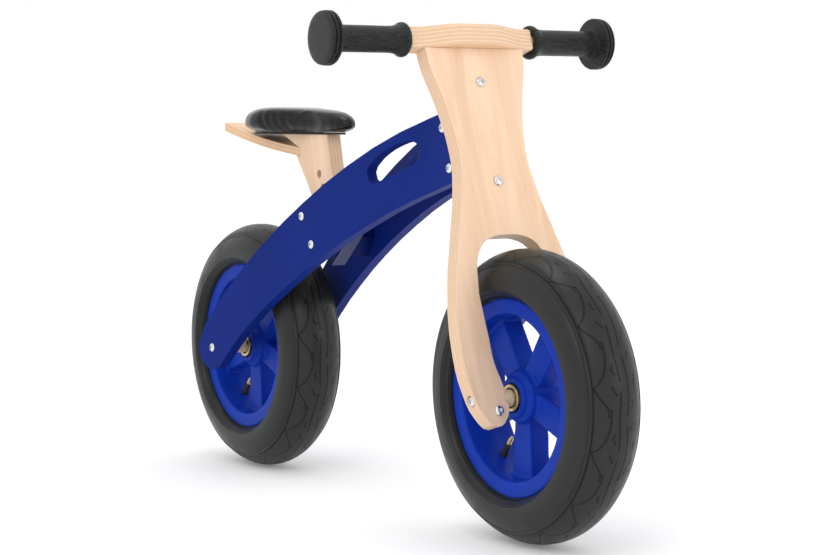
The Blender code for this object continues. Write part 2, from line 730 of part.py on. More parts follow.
def grip_profile():
    """From the closed outer end down to the flange, then up the bore."""
    length = HANDLE_HALF_LENGTH
    start = HANDLEBAR_END + GAP
    disc = GRIP_DISC_RADIUS
    inner_face = length - GRIP_DISC_WIDTH
    ring = GRIP_DISC_WIDTH / 3
    groove = 0.0022
    bore = HANDLE_TENON_RADIUS + GAP
    return [
        (0, length),
        (disc - 0.0065, length),
        (disc - 0.0015, length - 0.0018),
        (disc - 0.0004, length - ring + 0.0008),
        (disc - groove, length - ring),
        (disc, length - ring - 0.0008),
        (disc, length - 2 * ring + 0.0008),
        (disc - groove, length - 2 * ring),
        (disc, length - 2 * ring - 0.0008),
        (disc - 0.0008, inner_face),
        (GRIP_RADIUS + 0.001, inner_face - 0.001),
        (GRIP_RADIUS, inner_face - 0.003),
        (GRIP_RADIUS, start + 0.015),
        (GRIP_RADIUS + 0.0015, start + 0.010),
        (GRIP_FLANGE_RADIUS, start + 0.005),
        (GRIP_FLANGE_RADIUS, start + 0.0015),
        (GRIP_FLANGE_RADIUS - 0.0015, start),
        (bore, start),
        (bore, length - 0.0105),
        (0, length - 0.0105),
    ]


def grips(fork):
    height = FORK_HEIGHT + GAP + HANDLEBAR_THICKNESS / 2
    for side, turn in (("right", ALONG_MINUS_Y), ("left", ALONG_Y)):
        turned(f"grip_{side}", grip_profile(), "grip_rubber", steps=18, parent=fork,
               location=(HANDLE_FORWARD, 0, height), rotation=turn)


# ---------------------------------------------------------------- frame panels
def head_point(forward, up):
    """A world point given by its distance ahead of the steering axis and its height along it."""
    return STEERING_ORIGIN + FORK_NORMAL * forward + FORK_DIRECTION * up


def spine():
    """The panel's curved middle line in the X-Z plane: start, two pull points and end."""
    start = Vector((REAR_AXLE.x, REAR_AXLE.z))
    front = head_point(HEAD_FRONT, (HEAD_LOW + HEAD_HIGH) / 2 - 0.0012)
    end = Vector((front.x, front.z))
    rear_pull = start + PANEL_REAR_PULL * Vector((cos(PANEL_REAR_SLOPE), sin(PANEL_REAR_SLOPE)))
    front_pull = end - PANEL_FRONT_PULL * Vector((cos(PANEL_FRONT_SLOPE), sin(PANEL_FRONT_SLOPE)))
    return start, rear_pull, front_pull, end


def on_spine(share, offset):
    """The point a share of the way along the spine, moved up across it by offset."""
    a, b, c, d = spine()
    rest = 1 - share
    point = a * rest**3 + b * 3 * rest**2 * share + c * 3 * rest * share**2 + d * share**3
    way = (b - a) * rest**2 + (c - b) * 2 * rest * share + (d - c) * share**2
    way.normalize()
    return point + Vector((-way.y, way.x)) * offset, way


def half_height(share):
    stations = np.linspace(0, 1, len(PANEL_HALF_HEIGHTS))
    return float(np.interp(share, stations, PANEL_HALF_HEIGHTS))


def panel_outline():
    points = []
    for share in (0.12, 0.25, 0.40, 0.55, 0.70, 0.85):
        spot, _ = on_spine(share, half_height(share))
        points.append((spot.x, spot.y, "smooth"))
    top = head_point(HEAD_FRONT, HEAD_HIGH - 0.0025)
    bottom = head_point(HEAD_FRONT, HEAD_LOW + 0.0003)
    points.append((top.x, top.z, "corner"))
    points.append((bottom.x, bottom.z, "corner"))
    for share in (0.85, 0.70, 0.55, 0.40, 0.25, 0.10):
        spot, _ = on_spine(share, -half_height(share))
        points.append((spot.x, spot.y, "smooth"))
    centre, way = on_spine(0, 0)
    heading = atan2(way.y, way.x)
    for turn in (-85, -125, -165, -205, -245):
        angle = heading + radians(turn)
        x = centre.x + PANEL_REAR_RADIUS * cos(angle)
        z = centre.y + PANEL_REAR_RADIUS * sin(angle)
        points.append((x, z, "smooth"))
    return points


def panel_outer(x):
    """How far the panel's outer face is from the middle plane: parallel at the head, splayed behind it."""
    bend = head_point(0, HEAD_LOW).x - PANEL_BEND_SETBACK
    reach = bend - x
    rounding = PANEL_BEND_ROUNDING
    return PANEL_OUTER_AT_HEAD + PANEL_SPLAY * (reach + sqrt(reach * reach + rounding * rounding)) / 2


def bend_to_plan(obj, side):
    """Cuts the flat panel across near the bend and moves it sideways to the frame's plan shape."""
    bend = head_point(0, HEAD_LOW).x - PANEL_BEND_SETBACK
    work = bmesh.new()
    work.from_mesh(obj.data)
    for k in range(-3, 4):
        x = bend + k * PANEL_BEND_ROUNDING * 0.6
        geometry = list(work.verts) + list(work.edges) + list(work.faces)
        bmesh.ops.bisect_plane(work, geom=geometry, plane_co=(x, 0, 0), plane_no=(1, 0, 0))
    for vert in work.verts:
        from_outer = PANEL_THICKNESS / 2 - vert.co.y
        vert.co.y = panel_outer(vert.co.x) - from_outer
        if side < 0:
            vert.co.y = -vert.co.y
    bmesh.ops.recalc_face_normals(work, faces=work.faces)
    work.to_mesh(obj.data)
    work.free()


def slot_outline():
    """A bean-shaped hand hole that follows the spine."""
    start, end = SLOT_ENDS
    length = end - start
    stations = [
        (0.00, 0.62),
        (0.13, 0.86),
        (0.32, 0.985),
        (0.58, 1.00),
        (0.83, 0.885),
        (0.95, 0.70),
        (1.00, 0.34),
        (0.87, 0.00),
        (0.68, 0.00),
        (0.19, 0.03),
        (0.05, 0.10),
    ]
    points = []
    for along, across in stations:
        offset = SLOT_LOW + across * (SLOT_HIGH - SLOT_LOW)
        spot, _ = on_spine(start + along * length, offset)
        points.append((spot.x, spot.y, "smooth"))
    return points


def seat_bolt_places():
    places = []
    for step in (0, 2):
        spot, _ = on_spine(SEAT_STATION, SEAT_BOLT_OFFSET + step * SEAT_HOLE_PITCH)
        places.append(spot)
    return places


def outer_seat(x, radius):
    """The distance out at which a bolt head of this radius sits flat in the splayed panel."""
    return panel_outer(x + radius) - GAP


def frame_panels(root):
    """Both side panels with their hand holes, bolt holes and flat seats for heads and spacers."""
    head_bolts = [head_point(-HEAD_BOLT_SETBACK, up) for up in (HEAD_BOLT_LOW, HEAD_BOLT_HIGH)]
    seats = seat_bolt_places()
    slot = board("hand_slot", slot_outline(), 0.2, None, resolution=2)
    for side, way in (("right", -1), ("left", 1)):
        panel = board(
            f"frame_panel_{side}", panel_outline(), PANEL_THICKNESS, "panel_paint",
            resolution=2, parent=root,
        )
        cut(panel, slot)
        applied(panel)
        bend_to_plan(panel, way)
        along = {"rotation": ALONG_Y}
        for k, spot in enumerate(head_bolts):
            cut(panel, rod(f"head_hole_{side}_{k}", BARREL_RADIUS + GAP if way > 0 else HOLE_RADIUS, 0.1, None,
                           steps=12, location=(spot.x, way * 0.02, spot.z), **along))
            face = outer_seat(spot.x, BOLT_HEAD_RADIUS + 0.0006)
            cut(panel, rod(f"head_recess_{side}_{k}", BOLT_HEAD_RADIUS + 0.0006, 0.02, None, steps=12,
                           location=(spot.x, way * (face + 0.01), spot.z), **along))
        seat_radius = SEAT_SLEEVE_RADIUS + GAP if way > 0 else HOLE_RADIUS
        for k, spot in enumerate(seats):
            cut(panel, rod(f"seat_hole_{side}_{k}", seat_radius, 0.04, None, steps=12,
                           location=(spot.x, way * panel_outer(spot.x), spot.y), **along))
            face = outer_seat(spot.x, BOLT_HEAD_RADIUS + 0.0006)
            cut(panel, rod(f"seat_recess_{side}_{k}", BOLT_HEAD_RADIUS + 0.0006, 0.02, None, steps=12,
                           location=(spot.x, way * (face + 0.01), spot.y), **along))
        cut(panel, rod(f"axle_hole_{side}", HOLE_RADIUS, 0.06, None, steps=12,
                       location=(REAR_AXLE.x, way * panel_outer(REAR_AXLE.x), REAR_AXLE.z), **along))
        face = outer_seat(REAR_AXLE.x, BOLT_HEAD_RADIUS + 0.0006)
        cut(panel, rod(f"axle_recess_{side}", BOLT_HEAD_RADIUS + 0.0006, 0.02, None, steps=12,
                       location=(REAR_AXLE.x, way * (face + 0.01), REAR_AXLE.z), **along))
        cut(panel, rod(f"axle_seat_{side}", SPACER_RADIUS + 0.001, 2 * rear_seat(), None, steps=24,
                       location=REAR_AXLE, **along))


def rear_seat():
    """Half the distance between the flat seats that the rear axle's ends face."""
    return panel_outer(REAR_AXLE.x - SPACER_RADIUS - 0.001) - PANEL_THICKNESS + GAP


def rear_axle_parts(root):
    axle_set("rear", root, REAR_AXLE, rear_seat())
    face = outer_seat(REAR_AXLE.x, BOLT_HEAD_RADIUS + 0.0006)
    reach = face - rear_seat() + 0.020
    for side, way in (("right", -1), ("left", 1)):
        bolt(f"rear_axle_bolt_{side}", reach, parent=root, rotation=ALONG_MINUS_Y if way < 0 else ALONG_Y,
             location=(REAR_AXLE.x, way * (face + GAP), REAR_AXLE.z))


def head_block(root):
    """The block between the panels' front ends, bored for the steering bolt, with its two cross bolts."""
    head = empty("head", STEERING_ORIGIN, (0, -FORK_TILT, 0), root)
    half = HEAD_HALF_WIDTH - GAP
    block = box("head_block", (-HEAD_REAR, -half, HEAD_LOW), (HEAD_FRONT, half, HEAD_HIGH), "wood", parent=head)
    middle = (HEAD_LOW + HEAD_HIGH) / 2
    cut(block, rod("head_pin_hole", STEERING_BOLT_RADIUS + GAP, 0.2, None, parent=head, location=(0, 0, middle)))
    for name, up in (("lower", HEAD_BOLT_LOW), ("upper", HEAD_BOLT_HIGH)):
        place = (-HEAD_BOLT_SETBACK, 0, up)
        across = head_point(-HEAD_BOLT_SETBACK, up).x
        face = outer_seat(across, BOLT_HEAD_RADIUS + 0.0006) + GAP
        cut(block, rod(f"head_cross_hole_{name}", BARREL_RADIUS + GAP, 0.1, None, steps=12, parent=head,
                       rotation=ALONG_Y, location=place))
        bolt(f"head_bolt_{name}", 2 * face - 0.006, parent=head, rotation=ALONG_MINUS_Y,
             location=(-HEAD_BOLT_SETBACK, -face, up))
        sleeve_nut(f"head_nut_{name}", face + HEAD_HALF_WIDTH - 0.002, BARREL_RADIUS, parent=head,
                   rotation=ALONG_Y, location=(-HEAD_BOLT_SETBACK, face, up))


# ---------------------------------------------------------------- seat
def seat_line():
    """The lower bolt's place and the direction along the row of adjusting holes."""
    low, high = seat_bolt_places()
    return low, (high - low).normalized()


def beside_line(along, across):
    """A point given by its distance up the hole row and forward of it."""
    low, up = seat_line()
    return low + up * along + Vector((up.y, -up.x)) * across


def tail_line(x):
    """Height of the tail board's underside: a shallow arc that rises towards its rear end."""
    rear = tail_front() - x
    return SEAT_POST_TOP - 0.0250 + 0.107 * rear + rear * rear / (2 * SEAT_TAIL_RADIUS)


def tail_front():
    """Where the tail meets the post's rear edge."""
    top = on_spine(SEAT_STATION, 0)[0]
    return top.x - 0.0924


def tail_solid(name, slot, spare=0.0, **place):
    """The bent tail board: as wide as the post in the notch and wider towards the rear."""
    front = tail_front() + 0.010
    length = SEAT_TAIL_LENGTH + 0.010
    work = bmesh.new()
    bmesh.ops.create_cube(work, size=1)
    count = 9
    for k in range(1, count):
        geometry = list(work.verts) + list(work.edges) + list(work.faces)
        bmesh.ops.bisect_plane(work, geom=geometry, plane_co=(k / count - 0.5, 0, 0), plane_no=(1, 0, 0))
    for vert in work.verts:
        x = front + spare - (0.5 - vert.co.x) * (length + spare)
        share = max(0, tail_front() - x) / SEAT_TAIL_LENGTH
        half = SEAT_POST_THICKNESS / 2 + share * (SEAT_TAIL_HALF_WIDTH - SEAT_POST_THICKNESS / 2)
        low = tail_line(x) - spare
        high = tail_line(x) + SEAT_TAIL_THICKNESS + spare
        vert.co = Vector((x, (half + 3 * spare) * 2 * vert.co.y, high if vert.co.z > 0 else low))
    return object_from(name, bmesh_to_mesh(name, work), slot, **place)


def seat_post(root):
    """The upright board between the panels, with its row of adjusting holes and the notch for the tail."""
    half = SEAT_POST_HALF_DEPTH
    foot = -SEAT_POST_FOOT
    rear = tail_front()
    knee = beside_line(0.077, -half)
    hip = beside_line(0.075, half - 0.002)
    top = SEAT_POST_TOP
    front_foot = beside_line(foot + SEAT_POST_FOOT_RISE, half)
    rear_foot = beside_line(foot, -half)
    outline = [
        (rear - 0.0330, top, "corner"),
        (hip.x - 0.0125, top, "corner"),
        (hip.x, hip.y, "smooth"),
        (front_foot.x, front_foot.y, "corner"),
        (rear_foot.x, rear_foot.y, "corner"),
        (knee.x, knee.y, "smooth"),
        (rear, tail_line(rear), "corner"),
        (rear + 0.0043, tail_line(rear) + SEAT_TAIL_THICKNESS, "corner"),
    ]
    post = board("seat_post", outline, SEAT_POST_THICKNESS, "wood", parent=root)
    cut(post, tail_solid("tail_notch", None, spare=GAP))
    for k in range(SEAT_HOLE_COUNT):
        spot = beside_line(k * SEAT_HOLE_PITCH, 0)
        cut(post, rod(f"post_hole_{k}", SEAT_HOLE_RADIUS, 0.05, None, steps=16, rotation=ALONG_Y,
                      location=(spot.x, 0, spot.y)))


def seat_spacers(root):
    """Wedge blocks that fill the room between the post and the splayed panels."""
    inner = SEAT_POST_THICKNESS / 2 + GAP
    half = SEAT_SPACER_HALF_DEPTH
    corners = [
        beside_line(-SEAT_POST_FOOT + SEAT_POST_FOOT_RISE + 0.003, half),
        beside_line(2 * SEAT_HOLE_PITCH + SEAT_POST_FOOT - 0.003, half),
        beside_line(2 * SEAT_HOLE_PITCH + SEAT_POST_FOOT - 0.003, -half),
        beside_line(-SEAT_POST_FOOT + 0.003, -half),
    ]
    outline = [(spot.x, spot.y, "corner") for spot in corners]
    for side, way in (("right", -1), ("left", 1)):
        spacer = board(f"seat_spacer_{side}", outline, 0.002, "wood", parent=root)
        for vert in spacer.data.vertices:
            outside = vert.co.y > 0
            reach = panel_outer(vert.co.x) - PANEL_THICKNESS - GAP
            vert.co.y = way * (reach if outside else inner)
        if way < 0:
            spacer.data.flip_normals()
        for k, spot in enumerate(seat_bolt_places()):
            cut(spacer, rod(f"spacer_hole_{side}_{k}", SEAT_SLEEVE_RADIUS + GAP, 0.1, None, steps=12,
                            rotation=ALONG_Y, location=(spot.x, way * 0.03, spot.y)))


def seat_fasteners(root):
    for name, spot in zip(("lower", "upper"), seat_bolt_places()):
        face = outer_seat(spot.x, BOLT_HEAD_RADIUS + 0.0006) + GAP
        bolt(f"seat_bolt_{name}", face - 0.002, parent=root, rotation=ALONG_MINUS_Y,
             location=(spot.x, -face, spot.y))
        inner = panel_outer(spot.x + SEAT_SLEEVE_RADIUS) - PANEL_THICKNESS - 2 * GAP
        sleeve_nut(f"seat_nut_{name}", face + inner, SEAT_SLEEVE_RADIUS, parent=root,
                   rotation=ALONG_Y, location=(spot.x, face, spot.y))


def pad_middle():
    return tail_front() + PAD_LENGTH / 2 - 0.1045


def pad_half_width(share):
    """Half the saddle's width from its rear end (0) to its nose (1)."""
    wide, nose = PAD_HALF_WIDTH, PAD_NOSE_HALF_WIDTH
    blend = 0.5 - 0.5 * cos(pi * min(1, max(0, (share - 0.26) / 0.50)))
    return wide + (nose - wide) * blend


def saddle_outline(inset=0.0):
    """Plan outline of the saddle as (x, y): a broad round rear and a narrower round nose."""
    length = PAD_LENGTH - 2 * inset
    rear = pad_middle() - length / 2
    upper = []
    for share in (0.02, 0.10, 0.25, 0.42, 0.58, 0.75, 0.90, 0.98):
        half = pad_half_width(share) - inset
        rear_cap = sqrt(max(0, 1 - max(0, 1 - share / 0.26) ** 2))
        nose_cap = sqrt(max(0, 1 - max(0, (share - 0.86) / 0.14) ** 2))
        upper.append((rear + share * length, half * min(rear_cap, nose_cap), "smooth"))
    lower = [(x, -y, kind) for x, y, kind in reversed(upper)]
    return [(rear, 0, "smooth")] + upper + [(rear + length, 0, "smooth")] + lower


def seat_pad(root):
    """A thin base board on the post, and the padded saddle on it."""
    base_low = SEAT_POST_TOP + GAP
    middle = base_low + SEAT_BASE_THICKNESS / 2
    board("seat_base", saddle_outline(SEAT_BASE_INSET), SEAT_BASE_THICKNESS, "grip_rubber", resolution=2,
          parent=root, location=(0, 0, middle), rotation=(-pi / 2, 0, 0))
    low = base_low + SEAT_BASE_THICKNESS + GAP
    work = bmesh.new()
    bmesh.ops.create_uvsphere(work, u_segments=28, v_segments=12, radius=1)
    for vert in work.verts:
        vert.co = pad_point(vert.co, low)
    made = object_from("seat_pad", bmesh_to_mesh("seat_pad", work), "pad_vinyl", parent=root)
    made.data.shade_smooth()


def pad_point(unit, low):
    """Maps a point of the unit sphere onto the saddle, flat below and softly domed above."""
    ring = sqrt(unit.x**2 + unit.y**2)
    full = ring ** 0.42 if ring > 0 else 0
    angle = atan2(unit.y, unit.x)
    spread = sqrt(max(0, 1 - abs(cos(angle)) ** 2.4)) if abs(cos(angle)) < 1 else 0
    share = 0.5 + 0.5 * full * cos(angle)
    edge_share = 0.5 + 0.5 * cos(angle)
    x = pad_middle() + PAD_LENGTH * (share - 0.5)
    y = full * pad_half_width(edge_share) * spread * (1 if unit.y >= 0 else -1)
    crown = PAD_HEIGHT * (1.0 - 0.30 * max(0, share - 0.22) ** 1.3)
    if unit.z >= 0:
        z = low + 0.30 * crown + 0.70 * crown * unit.z ** 0.8
    else:
        z = low + 0.30 * crown * (1 - (-unit.z) ** 0.6)
    return Vector((x, y, z))


def build():
    global PARTS, CUTTERS
    clear_scene()
    PARTS = new_collection("balance_bike")
    CUTTERS = new_collection("cutters")
    CUTTERS.hide_render = True

    root = empty("bike_frame", (0, 0, 0))
    frame_panels(root)
    head_block(root)
    rear_axle_parts(root)
    seat_post(root)
    seat_spacers(root)
    seat_fasteners(root)
    tail_solid("seat_tail", "wood", parent=root)
    seat_pad(root)

    rear_mount = empty("rear_axle_mount", REAR_AXLE, (0, 0, 0), root)
    wheel("rear", rear_mount)

    fork = empty("fork", STEERING_ORIGIN, (0, -FORK_TILT, 0), root)
    fork_plate(fork)
    leg_fasteners(fork)
    axle_set("front", fork, (AXIS_TO_PLATE, 0, 0), FORK_LEG_SEAT)
    low, high = steering_blocks(fork)
    steering_bolt(fork, low, high)
    handlebar(fork)
    grips(fork)
    front_mount = empty("front_axle_mount", (AXIS_TO_PLATE, 0, 0), (0, FORK_TILT, 0), fork)
    wheel("front", front_mount)


build()
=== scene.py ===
"""The finished look of a wooden balance bike: tyres, moulded wheels, grips, saddle, fasteners and wood."""

from math import cos, exp, pi, radians, sin, sqrt

import bpy
from bpy.props import FloatProperty, FloatVectorProperty, IntProperty, PointerProperty
from mathutils import Matrix, Vector


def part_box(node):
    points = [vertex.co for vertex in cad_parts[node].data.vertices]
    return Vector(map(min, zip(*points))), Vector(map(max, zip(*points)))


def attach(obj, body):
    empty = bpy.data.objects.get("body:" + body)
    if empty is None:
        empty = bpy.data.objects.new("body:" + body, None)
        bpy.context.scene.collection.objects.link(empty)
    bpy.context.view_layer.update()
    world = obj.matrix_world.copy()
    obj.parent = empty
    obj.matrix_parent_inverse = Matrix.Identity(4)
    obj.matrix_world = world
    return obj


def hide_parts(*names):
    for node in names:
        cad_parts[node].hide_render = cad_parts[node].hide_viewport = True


bl_info = {
    "name": "Balance Bike Finish",
    "version": (1, 0, 0),
    "blender": (4, 5, 0),
    "location": "View3D > Sidebar > Bike",
    "description": "Builds the finished surfaces of a wooden balance bike",
    "category": "Object",
}

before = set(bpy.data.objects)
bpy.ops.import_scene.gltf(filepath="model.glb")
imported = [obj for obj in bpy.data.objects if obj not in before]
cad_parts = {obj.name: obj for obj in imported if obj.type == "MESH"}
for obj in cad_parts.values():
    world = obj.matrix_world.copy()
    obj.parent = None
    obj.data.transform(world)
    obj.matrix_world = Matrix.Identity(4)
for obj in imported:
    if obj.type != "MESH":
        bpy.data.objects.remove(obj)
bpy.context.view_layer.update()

TILT = radians(17.65)
UP_FORK = Vector((-sin(TILT), 0, cos(TILT)))
AHEAD_FORK = Vector((cos(TILT), 0, sin(TILT)))
TREAD_SHIFT = 0.41


# ---------------------------------------------------------------- settings
class BikeSizes(bpy.types.PropertyGroup):
    tyre_steps: IntProperty(
        name="Tyre steps", description="Faces round each tyre", default=240, min=48)
    tread_cells: IntProperty(
        name="Tread repeats", description="Scallops round each shoulder", default=14, min=4)
    rim_voxel: FloatProperty(
        name="Rim detail", description="Finest detail of the moulded wheels",
        default=0.0014, min=0.0008, precision=4, unit="LENGTH")
    round_steps: IntProperty(
        name="Round piece steps", description="Faces round bearings and spacers", default=64, min=16)
    board_bevel: FloatProperty(
        name="Board edge bevel", description="Rounding of the boards' edges",
        default=0.0011, precision=4, unit="LENGTH")
    pad_voxel: FloatProperty(
        name="Saddle detail", description="Mesh size of the saddle before it is filled",
        default=0.0040, min=0.002, precision=4, unit="LENGTH")
    pad_pressure: FloatProperty(
        name="Saddle pressure", description="How hard the saddle is filled", default=4.0)
    pad_swell: FloatProperty(
        name="Most saddle swelling", description="The furthest that filling moves the cover",
        default=0.005, precision=4, unit="LENGTH")
    pad_rise: FloatProperty(
        name="Most saddle rise", description="The furthest that filling lifts the cover",
        default=0.0008, precision=4, unit="LENGTH")
    ply: FloatProperty(
        name="Ply thickness", description="Thickness of one layer of the plywood",
        default=0.0021, precision=4, unit="LENGTH")


def colour_property(name, description, default):
    return FloatVectorProperty(name=name, description=description, subtype="COLOR", default=default)


class BikeColours(bpy.types.PropertyGroup):
    paint: colour_property("Paint", "Side panels", (0.0045, 0.0190, 0.180))
    wheel: colour_property("Wheel plastic", "Moulded wheels", (0.0040, 0.0350, 0.370))
    birch: colour_property("Birch", "Clear-finished plywood", (0.82, 0.595, 0.420))
    rubber: colour_property("Tyre rubber", "Tyres", (0.0150, 0.0160, 0.0157))
    grip: colour_property("Grip rubber", "Grips", (0.0100, 0.0120, 0.0115))
    vinyl: colour_property("Vinyl", "Saddle cover", (0.0040, 0.0045, 0.0052))
    zinc: colour_property("Zinc", "Bolts and nuts", (0.72, 0.73, 0.75))
    brass: colour_property("Brass", "Bearings and valve tips", (0.60, 0.47, 0.24))
    cream: colour_property("Cream plastic", "Axle spacers", (0.72, 0.56, 0.38))


# ---------------------------------------------------------------- shader helpers
class Shader:
    """One procedural material, with short calls for the nodes it is made of."""

    def __init__(self, name):
        self.material = bpy.data.materials.new(name)
        self.material.use_nodes = True
        self.tree = self.material.node_tree
        self.tree.nodes.clear()
        self.surface = self.tree.nodes.new("ShaderNodeBsdfPrincipled")
        output = self.tree.nodes.new("ShaderNodeOutputMaterial")
        self.tree.links.new(self.surface.outputs["BSDF"], output.inputs["Surface"])
        self.coordinates = self.tree.nodes.new("ShaderNodeTexCoord")

    def put(self, socket, value):
        if isinstance(value, bpy.types.NodeSocket):
            self.tree.links.new(value, socket)
        else:
            socket.default_value = value

    def set(self, **values):
        for key, value in values.items():
            self.put(self.surface.inputs[key.replace("_", " ")], value)

    def math(self, operation, *values):
        node = self.tree.nodes.new("ShaderNodeMath")
        node.operation = operation
        for socket, value in zip(node.inputs, values):
            self.put(socket, value)
        return node.outputs[0]

    def along(self, direction, origin=(0, 0, 0)):
        """Distance of the shaded point from origin along a direction."""
        shift = self.tree.nodes.new("ShaderNodeVectorMath")
        shift.operation = "SUBTRACT"
        self.put(shift.inputs[0], self.coordinates.outputs["Object"])
        shift.inputs[1].default_value = origin
        dot = self.tree.nodes.new("ShaderNodeVectorMath")
        dot.operation = "DOT_PRODUCT"
        self.put(dot.inputs[0], shift.outputs[0])
        dot.inputs[1].default_value = direction
        return dot.outputs["Value"]

    def facing(self, direction):
        """How squarely the surface faces along a direction, from 0 to 1."""
        dot = self.tree.nodes.new("ShaderNodeVectorMath")
        dot.operation = "DOT_PRODUCT"
        self.put(dot.inputs[0], self.coordinates.outputs["Normal"])
        dot.inputs[1].default_value = direction
        return self.math("ABSOLUTE", dot.outputs["Value"])

    def vector(self, x, y, z):
        node = self.tree.nodes.new("ShaderNodeCombineXYZ")
        for socket, value in zip(node.inputs, (x, y, z)):
            self.put(socket, value)
        return node.outputs[0]

    def scaled(self, value, factor):
        return self.math("MULTIPLY", value, factor)

    def noise(self, scale, detail=3.0, roughness=0.5, vector=None, distortion=0.0):
        node = self.tree.nodes.new("ShaderNodeTexNoise")
        self.put(node.inputs["Vector"], vector or self.coordinates.outputs["Object"])
        node.inputs["Scale"].default_value = scale
        node.inputs["Detail"].default_value = detail
        node.inputs["Roughness"].default_value = roughness
        node.inputs["Distortion"].default_value = distortion
        return node.outputs["Fac"]

    def cells(self, scale, feature="DISTANCE_TO_EDGE"):
        node = self.tree.nodes.new("ShaderNodeTexVoronoi")
        node.feature = feature
        self.put(node.inputs["Vector"], self.coordinates.outputs["Object"])
        node.inputs["Scale"].default_value = scale
        return node.outputs["Distance"]

    def between(self, value, low, high, out_low=0.0, out_high=1.0):
        node = self.tree.nodes.new("ShaderNodeMapRange")
        node.interpolation_type = "SMOOTHSTEP"
        self.put(node.inputs["Value"], value)
        node.inputs["From Min"].default_value = low
        node.inputs["From Max"].default_value = high
        node.inputs["To Min"].default_value = out_low
        node.inputs["To Max"].default_value = out_high
        return node.outputs["Result"]

    def mix(self, factor, first, second, blend="MIX"):
        node = self.tree.nodes.new("ShaderNodeMix")
        node.data_type = "RGBA"
        node.blend_type = blend
        self.put(node.inputs["Factor"], factor)
        self.put(node.inputs[6], first)
        self.put(node.inputs[7], second)
        return node.outputs[2]

    def bump(self, height, distance, strength=1.0, under=None):
        node = self.tree.nodes.new("ShaderNodeBump")
        node.inputs["Strength"].default_value = strength
        node.inputs["Distance"].default_value = distance
        self.put(node.inputs["Height"], height)
        if under is not None:
            self.put(node.inputs["Normal"], under)
        return node.outputs["Normal"]


def tone(colour, factor):
    return (colour[0] * factor, colour[1] * factor, colour[2] * factor, 1.0)


def colours():
    return bpy.context.scene.bike_colours


def sizes():
    return bpy.context.scene.bike_sizes


# ---------------------------------------------------------------- materials
def birch(name, normal, grain, centre, bow=0.0, warmth=1.0, foot_paint_and_shade=False):
    """Clear-finished birch plywood: grain on the faces and stacked plies on the edges."""
    s = Shader(name)
    base = colours().birch
    normal, grain = Vector(normal).normalized(), Vector(grain).normalized()
    side = normal.cross(grain)
    through = s.along(normal, centre)
    along = s.along(grain, centre)
    across = s.along(side, centre)
    if bow:
        through = s.math("SUBTRACT", through, s.scaled(s.math("MULTIPLY", along, along), bow))
    streak = s.vector(s.scaled(along, 3.5), s.scaled(across, 34), s.scaled(through, 34))
    figure = s.noise(1.0, 6, 0.62, streak, 0.6)
    pores = s.vector(s.scaled(along, 45), s.scaled(across, 900), s.scaled(through, 900))
    fleck = s.between(s.noise(1.0, 2, 0.5, pores), 0.62, 0.74)
    cloud = s.noise(9, 2)
    light = tone(base, 1.04)
    dark = (base[0] * 0.90, base[1] * 0.82, base[2] * 0.74, 1)
    face = s.mix(s.between(figure, 0.34, 0.70), light, dark)
    clouded = (base[0] * 0.97, base[1] * 0.88, base[2] * 0.80, 1)
    face = s.mix(s.scaled(s.between(cloud, 0.35, 0.7), 0.25), face, clouded)
    face = s.mix(s.scaled(fleck, 0.22), face, (base[0] * 0.72, base[1] * 0.58, base[2] * 0.44, 1))
    count = s.math("DIVIDE", through, sizes().ply)
    wobble = s.scaled(s.noise(1.0, 2, 0.5, s.vector(s.scaled(along, 30), s.scaled(across, 30), 0)), 0.18)
    phase = s.math("ADD", count, wobble)
    part = s.math("FRACT", s.math("ADD", phase, 100.25))
    glue = s.between(s.math("ABSOLUTE", s.math("SUBTRACT", part, 0.5)), 0.37, 0.49)
    pairs = s.math("FRACT", s.math("MULTIPLY", s.math("ADD", phase, 100.25), 0.5))
    even = s.math("GREATER_THAN", pairs, 0.5)
    end_place = s.vector(s.scaled(along, 120), s.scaled(across, 120), s.scaled(through, 700))
    end_grain = s.noise(1.0, 3, 0.6, end_place)
    plies = s.mix(even, tone(base, 1.0), (base[0] * 0.90, base[1] * 0.83, base[2] * 0.74, 1))
    end_tone = (base[0] * 0.80, base[1] * 0.68, base[2] * 0.54, 1)
    plies = s.mix(s.scaled(s.between(end_grain, 0.4, 0.7), 0.30), plies, end_tone)
    plies = s.mix(s.scaled(glue, 0.62), plies, (base[0] * 0.60, base[1] * 0.47, base[2] * 0.34, 1))
    edge = s.between(s.facing(normal), 0.55, 0.90, 1.0, 0.0)
    colour = s.mix(edge, face, plies)
    if warmth != 1.0:
        colour = s.mix(1.0, colour, (1.0, 0.93, 0.84, 1), "MULTIPLY")
    # The foot of the post, below the spacers' middle height, is coloured with the side panels' blue paint
    # darkened to 0.45: blue paint on the wood, darkened as painted shade.
    if foot_paint_and_shade:
        spacer_low, spacer_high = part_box("seat_spacer_right")
        below = s.along((0, 0, 1), (0, 0, spacer_low.z + 0.45 * (spacer_high.z - spacer_low.z)))
        colour = s.mix(s.between(below, -0.0006, 0.0006, 1.0, 0.0), colour, tone(colours().paint, 0.45))
    height = s.math("ADD", s.scaled(figure, 0.35), s.scaled(s.math("MULTIPLY", glue, edge), -0.5))
    grit = s.bump(s.noise(2600, 2), 0.00002, 0.5)
    normal_out = s.bump(height, 0.00018, 0.55, grit)
    rough = s.between(figure, 0.3, 0.7, 0.40, 0.52)
    s.set(Base_Color=colour, Roughness=rough, Specular_IOR_Level=0.42)
    s.set(Coat_Weight=0.12, Coat_Roughness=0.30)
    s.set(Normal=normal_out)
    return s.material


